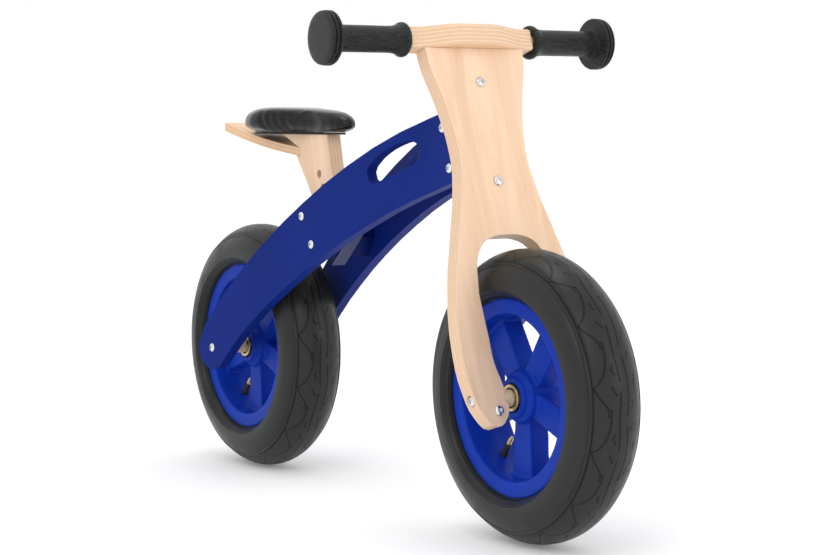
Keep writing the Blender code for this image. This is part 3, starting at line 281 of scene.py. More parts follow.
def painted_board(name, depth=1.0):
    """Satin paint over plywood, with a faint print of the grain."""
    s = Shader(name)
    # A depth below 1 darkens the whole paint evenly: painted shade, used for the spacers that sit between
    # the panels.
    base = [part * depth for part in colours().paint]
    along = s.along((0.86, 0, 0.5))
    across = s.along((-0.5, 0, 0.86))
    streak = s.vector(s.scaled(along, 5), s.scaled(across, 60), s.scaled(s.along((0, 1, 0)), 60))
    figure = s.noise(1.0, 5, 0.6, streak, 0.4)
    peel = s.noise(420, 3, 0.55)
    cloud = s.noise(7, 3)
    colour = s.mix(s.between(cloud, 0.35, 0.68), tone(base, 0.93), tone(base, 1.08))
    colour = s.mix(s.scaled(s.between(figure, 0.45, 0.75), 0.25), colour, tone(base, 0.80))
    first = s.bump(peel, 0.00012, 0.35)
    normal = s.bump(figure, 0.00016, 0.35, first)
    rough = s.between(peel, 0.3, 0.7, 0.42, 0.52)
    s.set(Base_Color=colour, Roughness=rough, Specular_IOR_Level=0.05, Normal=normal)
    return s.material


def moulded(name, colour, low=0.30, high=0.42, texture=900, depth=0.00006):
    """Moulded plastic: even colour with slight flow marks and a fine surface."""
    s = Shader(name)
    flow = s.noise(28, 3, 0.55, distortion=1.2)
    fine = s.noise(texture, 2)
    body = s.mix(s.between(flow, 0.35, 0.68), tone(colour, 0.92), tone(colour, 1.07))
    rough = s.between(flow, 0.3, 0.7, low, high)
    normal = s.bump(flow, 0.0004, 0.15, s.bump(fine, depth, 0.4))
    s.set(Base_Color=body, Roughness=rough, Specular_IOR_Level=0.09, Normal=normal)
    return s.material


def tread_rubber(name, axle):
    """Tyre rubber with a scalloped tread cut by curved grooves, slits and short strokes."""
    s = Shader(name)
    base = colours().rubber
    x, y, z = s.along((1, 0, 0), axle), s.along((0, 1, 0), axle), s.along((0, 0, 1), axle)
    radius = s.math("SQRT", s.math("ADD", s.math("MULTIPLY", x, x), s.math("MULTIPLY", z, z)))
    turn = s.math("ARCTAN2", z, x)
    low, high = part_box("front_tyre")
    half = (high.y - low.y) / 2
    middle = (high.z - low.z) / 2 - half
    across = s.math("DIVIDE", s.math("ARCTAN2", y, s.math("SUBTRACT", radius, middle)), pi / 2)
    other_side = s.scaled(s.math("GREATER_THAN", across, 0.0), 0.5)
    cell = s.math("SUBTRACT", 50 + TREAD_SHIFT, s.scaled(turn, sizes().tread_cells / (2 * pi)))
    place = s.math("FRACT", s.math("ADD", cell, other_side))
    reach = s.math("ABSOLUTE", across)

    def near(value, width):
        return s.between(s.math("ABSOLUTE", value), width * 0.5, width, 1.0, 0.0)

    def within(value, low_end, high_end, soft=0.012):
        rise = s.between(value, low_end - soft, low_end + soft)
        fall = s.between(value, high_end - soft, high_end + soft, 1.0, 0.0)
        return s.math("MULTIPLY", rise, fall)

    def line(height, width, low_end, high_end):
        close = near(s.math("SUBTRACT", reach, height), width)
        return s.math("MULTIPLY", close, within(place, low_end, high_end))

    shoulder, tip = 0.50, 0.265
    climb = s.math("POWER", s.math("MAXIMUM", s.scaled(place, 1 / 0.44), 0.0), 0.75)
    ripple = s.scaled(s.math("SINE", s.scaled(place, 2 * pi / 0.44)), 0.024)
    rising = s.math("ADD", s.math("SUBTRACT", shoulder, s.scaled(climb, shoulder - tip)), ripple)
    scallop = line(rising, 0.019, 0.0, 0.45)
    bow = s.math("DIVIDE", s.math("SUBTRACT", place, 0.36), 0.64)
    bowed = s.math("POWER", s.math("MAXIMUM", bow, 0.0), 2.4)
    rest = s.math("MAXIMUM", s.math("SUBTRACT", 1.0, bowed), 0.0)
    falling = s.math("SUBTRACT", shoulder, s.scaled(s.math("POWER", rest, 0.62), shoulder - 0.225))
    sweep = line(falling, 0.019, 0.36, 0.995)
    hook = s.math("MULTIPLY", near(s.math("SUBTRACT", place, 0.352), 0.014), within(reach, 0.225, 0.262))
    wave = s.scaled(s.math("SINE", s.scaled(place, pi)), 0.045)
    slit = line(s.math("ADD", 0.045, wave), 0.020, 0.10, 0.93)
    bent = s.scaled(s.math("ABSOLUTE", s.math("SUBTRACT", place, 0.76)), 0.6)
    comma = line(s.math("SUBTRACT", 0.185, bent), 0.020, 0.71, 0.84)
    stroke = line(s.math("SUBTRACT", 0.215, s.scaled(place, 0.6)), 0.019, 0.02, 0.14)
    groove = scallop
    for cut in (sweep, hook, slit, stroke, comma):
        groove = s.math("MAXIMUM", groove, cut)
    groove = s.math("MULTIPLY", groove, s.between(reach, 0.495, 0.515, 1.0, 0.0))
    rib = s.math("SINE", s.scaled(radius, 2200))
    wall_mark = s.math("MULTIPLY", s.between(rib, 0.6, 1.0), s.between(radius, 0.1075, 0.1095, 1.0, 0.0))
    fine = s.noise(1400, 2)
    dust = s.between(s.noise(40, 4, 0.6), 0.42, 0.75)
    body = s.mix(s.scaled(dust, 0.35), tone(base, 0.92), tone(base, 1.30))
    # The grooves are coloured near black (0.10 of the rubber): painted shade in the grooves.
    colour = s.mix(groove, body, tone(base, 0.10))
    normal = s.bump(fine, 0.00008, 0.45)
    normal = s.bump(s.scaled(groove, -1.0), 0.0035, 1.0, normal)
    normal = s.bump(wall_mark, 0.0004, 0.6, normal)
    rough = s.between(dust, 0.0, 1.0, 0.36, 0.50)
    s.set(Base_Color=colour, Roughness=rough, Specular_IOR_Level=0.30, Normal=normal)
    return s.material


def grip_rubber(name):
    """Soft grip rubber with fine wavy lines along the handle."""
    s = Shader(name)
    base = colours().grip
    y = s.along((0, 1, 0))
    wave = s.noise(1.0, 3, 0.6, s.vector(s.scaled(y, 60), s.scaled(s.along(AHEAD_FORK), 420),
                                         s.scaled(s.along(UP_FORK), 420)), 1.6)
    lines = s.between(wave, 0.42, 0.60)
    fine = s.noise(1500, 2)
    # The raised wavy lines are coloured lighter and the low ground between them darker: painted highlight
    # and painted shade along the relief.
    colour = s.mix(lines, tone(base, 0.55), tone(base, 1.35))
    normal = s.bump(lines, 0.0009, 0.9, s.bump(fine, 0.00005, 0.4))
    s.set(Base_Color=colour, Roughness=s.between(wave, 0.3, 0.7, 0.26, 0.44),
          Specular_IOR_Level=0.34, Normal=normal)
    return s.material


def plain_rubber(name, colour, rough=0.55):
    s = Shader(name)
    fine = s.noise(1300, 3)
    dust = s.noise(60, 4, 0.6)
    body = s.mix(s.between(dust, 0.4, 0.7), tone(colour, 0.85), tone(colour, 1.2))
    s.set(Base_Color=body, Roughness=s.between(dust, 0.3, 0.7, rough - 0.06, rough + 0.06))
    s.set(Normal=s.bump(fine, 0.00006, 0.4))
    return s.material


def coated_cloth(name):
    """Glossy black vinyl with a small pebbled grain and soft creases."""
    s = Shader(name)
    base = colours().vinyl
    pebble = s.between(s.cells(620), 0.02, 0.30)
    crease = s.noise(55, 4, 0.6, distortion=0.8)
    # The raised parts of the crease noise are coloured lighter and its lows darker: painted highlight and
    # painted shade in the creases.
    body = s.mix(s.between(crease, 0.35, 0.7), tone(base, 0.85), tone(base, 1.35))
    # The gaps between the pebbles are darkened to 0.6: painted shade in the recesses.
    body = s.mix(s.math("SUBTRACT", 1.0, pebble), body, tone(base, 0.6))
    normal = s.bump(crease, 0.0009, 0.22, s.bump(pebble, 0.00007, 0.55))
    rough = s.between(crease, 0.3, 0.7, 0.14, 0.24)
    s.set(Base_Color=body, Roughness=rough, Specular_IOR_Level=0.30)
    s.set(Normal=normal)
    return s.material


def plated(name, colour, low=0.16, high=0.34):
    """Plated metal with a fine surface and a slightly uneven shine."""
    s = Shader(name)
    haze = s.noise(160, 4, 0.6)
    fine = s.noise(3200, 2)
    body = s.mix(s.between(haze, 0.35, 0.7), tone(colour, 0.90), tone(colour, 1.05))
    s.set(Base_Color=body, Metallic=1.0, Roughness=s.between(haze, 0.3, 0.7, low, high))
    s.set(Normal=s.bump(fine, 0.00002, 0.4))
    return s.material


MADE = {}


def finish_of(name):
    """The shared material of that name, made the first time it is asked for."""
    if name in MADE:
        return MADE[name]
    c = colours()
    makers = {
        "paint": lambda: painted_board("blue_paint"),
        # The spacers between the panels get the blue paint at half brightness: painted shade.
        "spacer_paint_and_shade": lambda: painted_board("spacer_paint_and_shade", 0.5),
        "wheel_plastic": lambda: moulded("wheel_plastic", c.wheel, 0.34, 0.46),
        "cream_plastic": lambda: moulded("cream_plastic", c.cream, 0.40, 0.52),
        "front_tread": lambda: tread_rubber("front_tread", axle_centre("front")),
        "rear_tread": lambda: tread_rubber("rear_tread", axle_centre("rear")),
        "tube_rubber": lambda: plain_rubber("tube_rubber", (0.015, 0.015, 0.015)),
        "base_board": lambda: plain_rubber("base_board", (0.018, 0.018, 0.018), 0.6),
        "seal": lambda: plain_rubber("bearing_seal", (0.008, 0.007, 0.007), 0.45),
        "grip": lambda: grip_rubber("grip_rubber"),
        "vinyl": lambda: coated_cloth("saddle_vinyl"),
        "zinc": lambda: plated("zinc_plate", c.zinc),
        "brass": lambda: plated("yellow_brass", c.brass, 0.26, 0.42),
        "fork_birch": lambda: birch("fork_birch", AHEAD_FORK, UP_FORK, node_centre("fork_plate")),
        "bar_birch": lambda: birch("bar_birch", UP_FORK, (0, 1, 0), node_centre("handlebar"), bow=-0.35),
        # The post's foot gets blue paint darkened as painted shade.
        "post_birch": lambda: birch(
            "post_birch", (0, 1, 0), (-0.35, 0, 0.94), node_centre("seat_post"), foot_paint_and_shade=True),
        "tail_birch": lambda: birch(
            "tail_birch", (0.20, 0, 0.98), (-0.98, 0, 0.20), node_centre("seat_tail"),
            bow=0.62, warmth=1.1),
        "block_birch": lambda: birch("block_birch", (0, 1, 0), AHEAD_FORK, node_centre("head_block")),
    }
    MADE[name] = makers[name]()
    return MADE[name]


# ---------------------------------------------------------------- modelling helpers
def node_centre(node):
    low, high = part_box(node)
    return (low + high) / 2


def axle_centre(end):
    return node_centre(f"{end}_axle")


def node_span(node, direction):
    """The middle of a CAD node and its lowest and highest reach from there along a direction."""
    direction = Vector(direction).normalized()
    points = [v.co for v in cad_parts[node].data.vertices]
    reach = [p.dot(direction) for p in points]
    middle = sum((Vector(p) for p in points), Vector()) / len(points)
    middle -= direction * middle.dot(direction)
    side = direction.orthogonal().normalized()
    other = direction.cross(side)
    for way in (side, other):
        spread = [p.dot(way) for p in points]
        middle += way * ((min(spread) + max(spread)) / 2 - middle.dot(way))
    return middle, min(reach), max(reach)


def facing_matrix(place, direction):
    """Puts local Z along a direction, with the origin at place."""
    turn = Vector((0, 0, 1)).rotation_difference(Vector(direction)).to_matrix().to_4x4()
    return Matrix.Translation(place) @ turn


def clean_start():
    bpy.ops.object.select_all(action="DESELECT")


def use_only(obj):
    bpy.ops.object.select_all(action="DESELECT")
    obj.select_set(True)
    bpy.context.view_layer.objects.active = obj


def apply_all(obj):
    use_only(obj)
    for modifier in list(obj.modifiers):
        bpy.ops.object.modifier_apply(modifier=modifier.name)


def settle(obj, matrix, smooth_angle=40):
    """Writes the place into the mesh and shades it smooth up to an angle."""
    obj.data.transform(matrix @ obj.matrix_basis)
    obj.matrix_basis = Matrix.Identity(4)
    use_only(obj)
    bpy.ops.object.shade_smooth()
    obj.data.set_sharp_from_angle(angle=radians(smooth_angle))


def finish_piece(obj, body, materials, nodes=()):
    obj.data.materials.clear()
    for name in materials:
        obj.data.materials.append(finish_of(name))
    if nodes:
        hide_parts(*nodes)
    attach(obj, body)
    return obj


def turned(name, profile, steps, matrix, closed=False, smooth_angle=40):
    """A lathe-turned piece from (radius, height) points about local Z."""
    clean_start()
    bpy.ops.mesh.primitive_plane_add(size=0.001, location=(0, 0, 0))
    obj = bpy.context.object
    obj.name = name
    bpy.ops.object.mode_set(mode="EDIT")
    bpy.ops.mesh.merge(type="CENTER")
    bpy.ops.transform.translate(value=(profile[0][0], 0, profile[0][1]))
    points = list(profile) + ([profile[0]] if closed else [])
    for (r0, h0), (r1, h1) in zip(points, points[1:]):
        bpy.ops.mesh.extrude_region_move(TRANSFORM_OT_translate={"value": (r1 - r0, 0, h1 - h0)})
    bpy.ops.mesh.select_all(action="SELECT")
    bpy.ops.mesh.remove_doubles(threshold=0.000002)
    bpy.ops.object.mode_set(mode="OBJECT")
    screw = obj.modifiers.new("Turn", "SCREW")
    screw.axis = "Z"
    screw.steps = steps
    screw.render_steps = steps
    screw.use_merge_vertices = True
    screw.merge_threshold = 0.000005
    apply_all(obj)
    bpy.ops.object.mode_set(mode="EDIT")
    bpy.ops.mesh.select_all(action="SELECT")
    bpy.ops.mesh.normals_make_consistent(inside=False)
    bpy.ops.object.mode_set(mode="OBJECT")
    settle(obj, matrix, smooth_angle)
    return obj


def rounded(corners, radius, count=4):
    """An open profile with its inner corners rounded by short arcs."""
    made = [corners[0]]
    for before, corner, after in zip(corners, corners[1:], corners[2:]):
        a, b, c = Vector(before), Vector(corner), Vector(after)
        cut = min(radius, 0.45 * (a - b).length, 0.45 * (c - b).length)
        start = b + (a - b).normalized() * cut
        end = b + (c - b).normalized() * cut
        for k in range(count + 1):
            t = k / count
            point = start * (1 - t) ** 2 + b * 2 * t * (1 - t) + end * t * t
            made.append((point.x, point.y))
    made.append(corners[-1])
    return made


class Builder(bpy.types.Operator):
    """Shared behaviour of the bike's build steps"""

    bl_options = {"REGISTER", "UNDO"}


# ---------------------------------------------------------------- wheels
def tyre_section(half, middle, rim):
    """Bead, bulging wall, shoulder ridge and crown, then the inside back to the start."""
    right = [(rim + 0.0006, half - 0.0105), (rim + 0.0030, half - 0.0060)]
    for angle in (-2, 4, 10, 16, 22, 28, 33):
        a = radians(angle)
        right.append((middle + half * sin(a), half * cos(a)))
    ridge = ((37, 0.0), (38.5, 0.0011), (40.5, 0.0012), (42, 0.0001), (43.5, -0.0009), (45, -0.0002))
    for angle, lift in ridge:
        a = radians(angle)
        right.append((middle + (half + lift - 0.0008) * sin(a), (half + lift - 0.0008) * cos(a)))
    for angle in range(48, 87, 4):
        a = radians(angle)
        right.append((middle + (half - 0.0001) * sin(a), (half - 0.0001) * cos(a)))
    left = [(r, -w) for r, w in reversed(right)]
    inside = [
        (rim + 0.0006, -(half - 0.0142)),
        (rim - 0.0100, -(half - 0.0145)),
        (rim - 0.0100, -(half - 0.0185)),
        (middle, -(half - 0.0070)),
        (middle + half * 0.75, 0.0),
        (middle, half - 0.0070),
        (rim - 0.0100, half - 0.0185),
        (rim - 0.0100, half - 0.0145),
        (rim + 0.0006, half - 0.0142),
    ]
    return right + left + inside


class BIKE_OT_tyres(Builder):
    """Builds both air tyres with their moulded shoulder ridge"""

    bl_idname = "bike.tyres"
    bl_label = "Tyres"

    def execute(self, context):
        for end in ("front", "rear"):
            low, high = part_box(f"{end}_tyre")
            half = (high.y - low.y) / 2
            outer = (high.z - low.z) / 2
            rim_low, rim_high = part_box(f"{end}_rim")
            rim = (rim_high.z - rim_low.z) / 2
            section = tyre_section(half, outer - half, rim)
            place = facing_matrix(axle_centre(end), (0, 1, 0))
            tyre = turned(f"{end}_air_tyre", section, sizes().tyre_steps, place, closed=True)
            finish_piece(tyre, f"{end}_wheel", [f"{end}_tread"], [f"{end}_tyre"])
        return {"FINISHED"}


# The spokes' half width at the hub, half width at the rim and half depth, as in the CAD.
SPOKES = 5
SPOKE_HALF_SIZES = (0.0130, 0.0170, 0.0115)


def wheel_spoke(name, angle, inner, outer, half_width_in, half_width_out, half_depth):
    """One spoke as a block, narrowed at the hub, and turned to its angle."""
    bpy.ops.mesh.primitive_cube_add(size=1, location=(0, 0, 0))
    obj = bpy.context.object
    obj.name = name
    for vert in obj.data.vertices:
        far = vert.co.x > 0
        half = half_width_out if far else half_width_in
        depth = half_depth
        vert.co.x = outer if far else inner
        vert.co.y = half if vert.co.y > 0 else -half
        vert.co.z = depth if vert.co.z > 0 else -depth
    obj.data.transform(Matrix.Rotation(angle, 4, "Z"))
    return obj


class BIKE_OT_rims(Builder):
    """Builds the moulded wheels: lip, dish, hub and five filleted spokes"""

    bl_idname = "bike.rims"
    bl_label = "Moulded wheels"

    def execute(self, context):
        for end in ("front", "rear"):
            low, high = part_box(f"{end}_rim")
            radius, half = (high.z - low.z) / 2, (high.y - low.y) / 2
            lip = radius - 0.0165
            ring = [
                (lip - 0.0018, 0.0),
                (lip - 0.0008, half - 0.006),
                (lip + 0.0004, half - 0.0006),
                (radius - 0.0008, half),
                (radius, half - 0.0010),
                (radius, half - 0.0030),
                (lip + 0.0050, half - 0.0030),
                (lip + 0.0050, 0.0),
            ]
            ring += [(r, -w) for r, w in reversed(ring[1:-1])]
            flat = Matrix.Identity(4)
            barrel = turned(f"{end}_moulded_wheel", ring, 128, flat, closed=True)
            hub_low, hub_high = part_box(f"{end}_bearing_left")
            bore = (hub_high.z - hub_low.z) / 2 + 0.0004
            face = half - 0.0038
            hub = [
                (bore, face),
                (bore + 0.0060, face),
                (bore + 0.0070, face - 0.0050),
                (bore + 0.0118, face - 0.0075),
                (bore + 0.0128, face - 0.0110),
            ]
            hub += [(r, -w) for r, w in reversed(hub)]
            pieces = [turned(f"{end}_hub_blank", hub, 64, flat, closed=True)]
            for k in range(SPOKES):
                angle = pi / 2 + 2 * pi * k / SPOKES
                pieces.append(wheel_spoke(f"{end}_spoke_{k}", angle, bore + 0.006, lip + 0.0025,
                                          *SPOKE_HALF_SIZES))
            clean_start()
            for piece in pieces:
                piece.select_set(True)
            barrel.select_set(True)
            context.view_layer.objects.active = barrel
            bpy.ops.object.join()
            remesh = barrel.modifiers.new("Melt", "REMESH")
            remesh.mode = "VOXEL"
            remesh.voxel_size = sizes().rim_voxel * 1.0
            smooth = barrel.modifiers.new("Fillet", "SMOOTH")
            smooth.factor = 0.5
            smooth.iterations = 5
            apply_all(barrel)
            settle(barrel, facing_matrix(axle_centre(end), (0, 1, 0)), 70)
            finish_piece(barrel, f"{end}_wheel", ["wheel_plastic"], [f"{end}_rim"])
        return {"FINISHED"}


class BIKE_OT_hubs(Builder):
    """Builds bearings, spacers and valves"""

    bl_idname = "bike.hubs"
    bl_label = "Bearings, spacers and valves"

    def execute(self, context):
        steps = sizes().round_steps
        for end in ("front", "rear"):
            body = "fork" if end == "front" else "frame"
            for side, way in (("right", -1), ("left", 1)):
                out = Vector((0, way, 0))
                node = f"{end}_bearing_{side}"
                middle, low, high = node_span(node, out)
                box_low, box_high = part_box(node)
                outer = (box_high.z - box_low.z) / 2
                length = high - low
                profile = rounded([
                    (0.0054, 0.0005), (0.0054, length - 0.0004), (0.0082, length - 0.0004),
                    (0.0086, length - 0.0014), (outer - 0.0036, length - 0.0014),
                    (outer - 0.0032, length), (outer, length), (outer, 0.0), (0.0054, 0.0)], 0.0012)
                place = facing_matrix(middle + out * low, out)
                ring = turned(f"{end}_ball_bearing_{side}", profile, steps, place, closed=True,
                              smooth_angle=60)
                finish_piece(ring, f"{end}_wheel", ["brass", "seal"], [node])
                for face in ring.data.polygons:
                    spot = face.center - middle
                    reach = sqrt(spot.x**2 + spot.z**2)
                    if 0.0084 < reach < outer - 0.0034:
                        face.material_index = 1
                node = f"{end}_spacer_{side}"
                middle, low, high = node_span(node, out)
                box_low, box_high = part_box(node)
                outer = (box_high.z - box_low.z) / 2
                profile = rounded([
                    (0.0054, 0.0005), (0.0054, 0.0), (outer - 0.0004, 0.0), (outer, high - low),
                    (0.0054, high - low), (0.0054, 0.001)], 0.0010)
                place = facing_matrix(middle + out * low, out)
                spacer = turned(f"{end}_collar_{side}", profile, steps, place, closed=True, smooth_angle=60)
                finish_piece(spacer, body, ["cream_plastic"], [node])
            self.valve(end, steps)
        return {"FINISHED"}

    def valve(self, end, steps):
        stem_middle = node_centre(f"{end}_valve_stem")
        out = (axle_centre(end) - stem_middle).normalized()
        middle, low, high = node_span(f"{end}_valve_stem", out)
        length = high - low
        profile = rounded([(0, 0), (0.0042, 0), (0.0042, length * 0.55), (0.0034, length * 0.72),
                           (0.0034, length), (0, length)], 0.0008)
        stem = turned(f"{end}_valve_rubber", profile, 40, facing_matrix(middle + out * low, out))
        finish_piece(stem, f"{end}_wheel", ["tube_rubber"], [f"{end}_valve_stem"])
        middle, low, high = node_span(f"{end}_valve_tip", out)
        length = high - low
        profile = [(0, 0), (0.0026, 0)]
        for k in range(7):
            height = 0.0012 + k * 0.0010
            profile += [(0.0026, height), (0.0022, height + 0.0005)]
        profile += [(0.0018, length - 0.001), (0.0018, length), (0, length)]
        place = facing_matrix(middle + out * low, out)
        tip = turned(f"{end}_valve_brass", profile, 32, place, smooth_angle=30)
        finish_piece(tip, f"{end}_wheel", ["brass"], [f"{end}_valve_tip"])


# ---------------------------------------------------------------- fasteners
SIDE_BOLTS = {
    "head_bolt_lower": "frame", "head_bolt_upper": "frame", "seat_bolt_lower": "frame",
    "seat_bolt_upper": "frame", "rear_axle_bolt_right": "frame", "front_axle_bolt_right": "fork",
}
LEFT_HEADS = {
    "head_nut_lower": "frame", "head_nut_upper": "frame", "seat_nut_lower": "frame",
    "seat_nut_upper": "frame", "rear_axle_bolt_left": "frame", "front_axle_bolt_left": "fork",
}
FRONT_BOLTS = {
    "fork_bolt_lower": "fork", "fork_bolt_upper": "fork", "leg_bolt_left": "fork", "leg_bolt_right": "fork",
}


BOLT_HEAD_RADIUS, BOLT_HEAD_RISE, BOLT_SHANK_RADIUS = 0.0053, 0.0030, 0.0030
SOCKET_RADIUS, SOCKET_DEPTH = 0.0023, 0.0044


def domed_bolt(node, body, direction):
    """A domed head with a hexagon socket, and its shank, where the CAD bolt is."""
    middle, low, high = node_span(node, direction)
    length = high - low
    head, rise, shank = BOLT_HEAD_RADIUS, BOLT_HEAD_RISE, BOLT_SHANK_RADIUS
    under = length - rise
    profile = [(0, 0.0), (0.0028, 0.0), (shank, 0.0003), (shank, under), (head, under)]
    profile.append((head, under + 0.0004))
    for k in range(1, 8):
        angle = radians(k * 11.4)
        profile.append((head * cos(angle) ** 0.9, under + 0.0004 + (rise - 0.0004) * sin(angle)))
    profile += [(0, length - 0.00002)]
    place = facing_matrix(middle + Vector(direction).normalized() * low, direction)
    bolt = turned(f"domed_{node}", profile, 48, place, smooth_angle=38)
    clean_start()
    bpy.ops.mesh.primitive_cylinder_add(vertices=6, radius=SOCKET_RADIUS, depth=SOCKET_DEPTH)
    socket = bpy.context.object
    socket.data.transform(place @ Matrix.Translation((0, 0, length)))
    drill = bolt.modifiers.new("Socket", "BOOLEAN")
    drill.operation = "DIFFERENCE"
    drill.solver = "EXACT"
    drill.object = socket
    apply_all(bolt)
    bpy.data.objects.remove(socket, do_unlink=True)
    bolt.data.set_sharp_from_angle(angle=radians(38))
    finish_piece(bolt, body, ["zinc"], [node])


class BIKE_OT_bolts(Builder):
    """Builds the domed socket bolts and sleeve nuts"""

    bl_idname = "bike.bolts"
    bl_label = "Bolts"

    def execute(self, context):
        right, left = (0, -1, 0), (0, 1, 0)
        for group, direction in ((SIDE_BOLTS, right), (LEFT_HEADS, left), (FRONT_BOLTS, AHEAD_FORK)):
            for node, body in group.items():
                domed_bolt(node, body, direction)
        return {"FINISHED"}


# ---------------------------------------------------------------- grips and saddle
class BIKE_OT_grips(Builder):
    """Builds the rubber grips with their flange and three-ringed end disc"""

    bl_idname = "bike.grips"
    bl_label = "Grips"

    def execute(self, context):
        for side, way in (("right", -1), ("left", 1)):
            out = Vector((0, way, 0))
            node = f"grip_{side}"
            middle, low, high = node_span(node, out)
            box_low, box_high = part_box(node)
            disc = (box_high.x - box_low.x) / 2
            length = high - low
            inner = length - 0.0130
            outline = [
                (0.0098, 0.0012), (0.0165, 0.0), (0.0182, 0.0018), (0.0182, 0.0052), (0.0160, 0.0085),
                (0.0145, 0.0130), (0.0139, 0.0190), (0.0139, inner - 0.0060), (0.0150, inner - 0.0020),
                (0.0200, inner - 0.0002), (disc - 0.0010, inner), (disc, inner + 0.0012),
                (disc, inner + 0.0034), (disc - 0.0024, inner + 0.0041), (disc - 0.0024, inner + 0.0046),
                (disc, inner + 0.0053), (disc, inner + 0.0077), (disc - 0.0024, inner + 0.0084),
                (disc - 0.0024, inner + 0.0089), (disc - 0.0003, inner + 0.0095),
                (disc - 0.0012, inner + 0.0116), (disc - 0.0060, length - 0.0002), (disc * 0.4, length),
                (0, length),
            ]
            profile = [(0.0098, length - 0.0110)] + rounded(outline, 0.0022, 3)
            profile = [(0, length - 0.0110)] + profile
            place = facing_matrix(middle + out * low, out)
            grip = turned(f"rubber_grip_{side}", profile, 96, place, smooth_angle=60)
            finish_piece(grip, "fork", ["grip"], [node])
        return {"FINISHED"}


class BIKE_OT_saddle(Builder):
    """Builds the padded saddle by inflating its cover, then sews in the side pleats"""

    bl_idname = "bike.saddle"
    bl_label = "Saddle"

    def execute(self, context):
        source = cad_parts["seat_pad"]
        low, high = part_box("seat_pad")
        centre = (low + high) / 2
        pad = source.copy()
        pad.data = source.data.copy()
        for key in list(pad.keys()):
            del pad[key]
        pad.parent = None
        pad.name = "saddle_cover"
        context.scene.collection.objects.link(pad)
        pad.modifiers.clear()
        for vert in pad.data.vertices:
            offset = vert.co - centre
            vert.co = centre + Vector((offset.x * 0.985, offset.y * 0.965, offset.z * 0.96))
        weld = pad.modifiers.new("Close", "WELD")
        weld.merge_threshold = 0.00002
        remesh = pad.modifiers.new("Even", "REMESH")
        remesh.mode = "VOXEL"
        remesh.voxel_size = sizes().pad_voxel
        relax = pad.modifiers.new("Relax", "SMOOTH")
        relax.factor = 0.5
        relax.iterations = 2
        apply_all(pad)
        start = [v.co.copy() for v in pad.data.vertices]
        self.inflate(context, pad, start)
        floor = low.z + 0.0002
        for vert in pad.data.vertices:
            vert.co.z = max(vert.co.z, floor)
        self.sew(pad, low, high)
        soften = pad.modifiers.new("Fine", "SUBSURF")
        soften.levels = 1
        soften.render_levels = 1
        apply_all(pad)
        for vert in pad.data.vertices:
            vert.co.z = max(vert.co.z, floor)
        settle(pad, Matrix.Identity(4), 80)
        finish_piece(pad, "frame", ["vinyl"], ["seat_pad"])
        return {"FINISHED"}

    def inflate(self, context, pad, start):
        cloth = pad.modifiers.new("Fill", "CLOTH")
        cloth.settings.quality = 5
        cloth.settings.use_pressure = True
        cloth.settings.uniform_pressure_force = sizes().pad_pressure
        cloth.settings.tension_stiffness = 20
        cloth.settings.compression_stiffness = 20
        cloth.settings.shear_stiffness = 8
        cloth.settings.bending_stiffness = 0.5
        cloth.settings.effector_weights.gravity = 0
        for step in range(1, 21):
            context.scene.frame_set(step)
        apply_all(pad)
        context.scene.frame_set(1)
        most = sizes().pad_swell
        for vert, before in zip(pad.data.vertices, start):
            moved = vert.co - before
            if moved.length > most:
                moved = moved.normalized() * most
            moved.z = min(moved.z, sizes().pad_rise)
            vert.co = before + moved

    def sew(self, pad, low, high):
        """Pulls a few short upright pleats into both long sides."""
        length = high.x - low.x
        middle_z = low.z + 0.42 * (high.z - low.z)
        normals = [v.normal.copy() for v in pad.data.vertices]
        pleats = (0.400, 0.445, 0.490, 0.535)
        for vert, normal in zip(pad.data.vertices, normals):
            side = abs(normal.y)
            if side < 0.25:
                continue
            lean = 0.35 * (vert.co.z - middle_z)
            share = (vert.co.x - low.x + lean) / length
            window = exp(-(((vert.co.z - middle_z) / 0.0105) ** 4))
            depth = 0.0
            for k, place in enumerate(pleats):
                depth += (0.0034 - 0.0004 * k) * exp(-(((share - place) * length / 0.0034) ** 2))
            vert.co -= normal * depth * window * min(1.0, (side - 0.25) / 0.4)


# ---------------------------------------------------------------- boards
BOARDS = {
    "frame_panel_left": ("paint", 1.3), "frame_panel_right": ("paint", 1.3),
    "fork_plate": ("fork_birch", 1.0),
    "handlebar": ("bar_birch", 0.8), "seat_post": ("post_birch", 0.9), "seat_tail": ("tail_birch", 0.7),
    "head_block": ("block_birch", 0.7), "steering_block_lower": ("block_birch", 0.5),
    "steering_block_upper": ("block_birch", 0.5), "seat_spacer_left": ("spacer_paint_and_shade", 0.7),
    "seat_spacer_right": ("spacer_paint_and_shade", 0.7), "seat_base": ("base_board", 0.5),
}
METAL = (
    "front_axle", "rear_axle", "steering_bolt", "steering_nut", "steering_washer_lower",
    "steering_washer_upper", "barrel_nut_lower", "barrel_nut_upper", "leg_nut_left", "leg_nut_right",
)


def dress_node(node, material, bevel):
    """Gives a CAD node its material, smooth shading and live softened edges. Its points stay."""
    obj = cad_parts[node]
    obj.data.materials.clear()
    obj.data.materials.append(finish_of(material))
    if "custom_normal" in obj.data.attributes:
        obj.data.attributes.remove(obj.data.attributes["custom_normal"])
    obj.data.polygons.foreach_set("use_smooth", [True] * len(obj.data.polygons))
    weld = obj.modifiers.new("Join", "WELD")
    weld.merge_threshold = 0.00001
    soften = obj.modifiers.new("Edges", "BEVEL")
    soften.width = sizes().board_bevel * bevel
    soften.segments = 3
    soften.limit_method = "ANGLE"
    soften.angle_limit = radians(38)
    soften.harden_normals = True
    soften.use_clamp_overlap = True


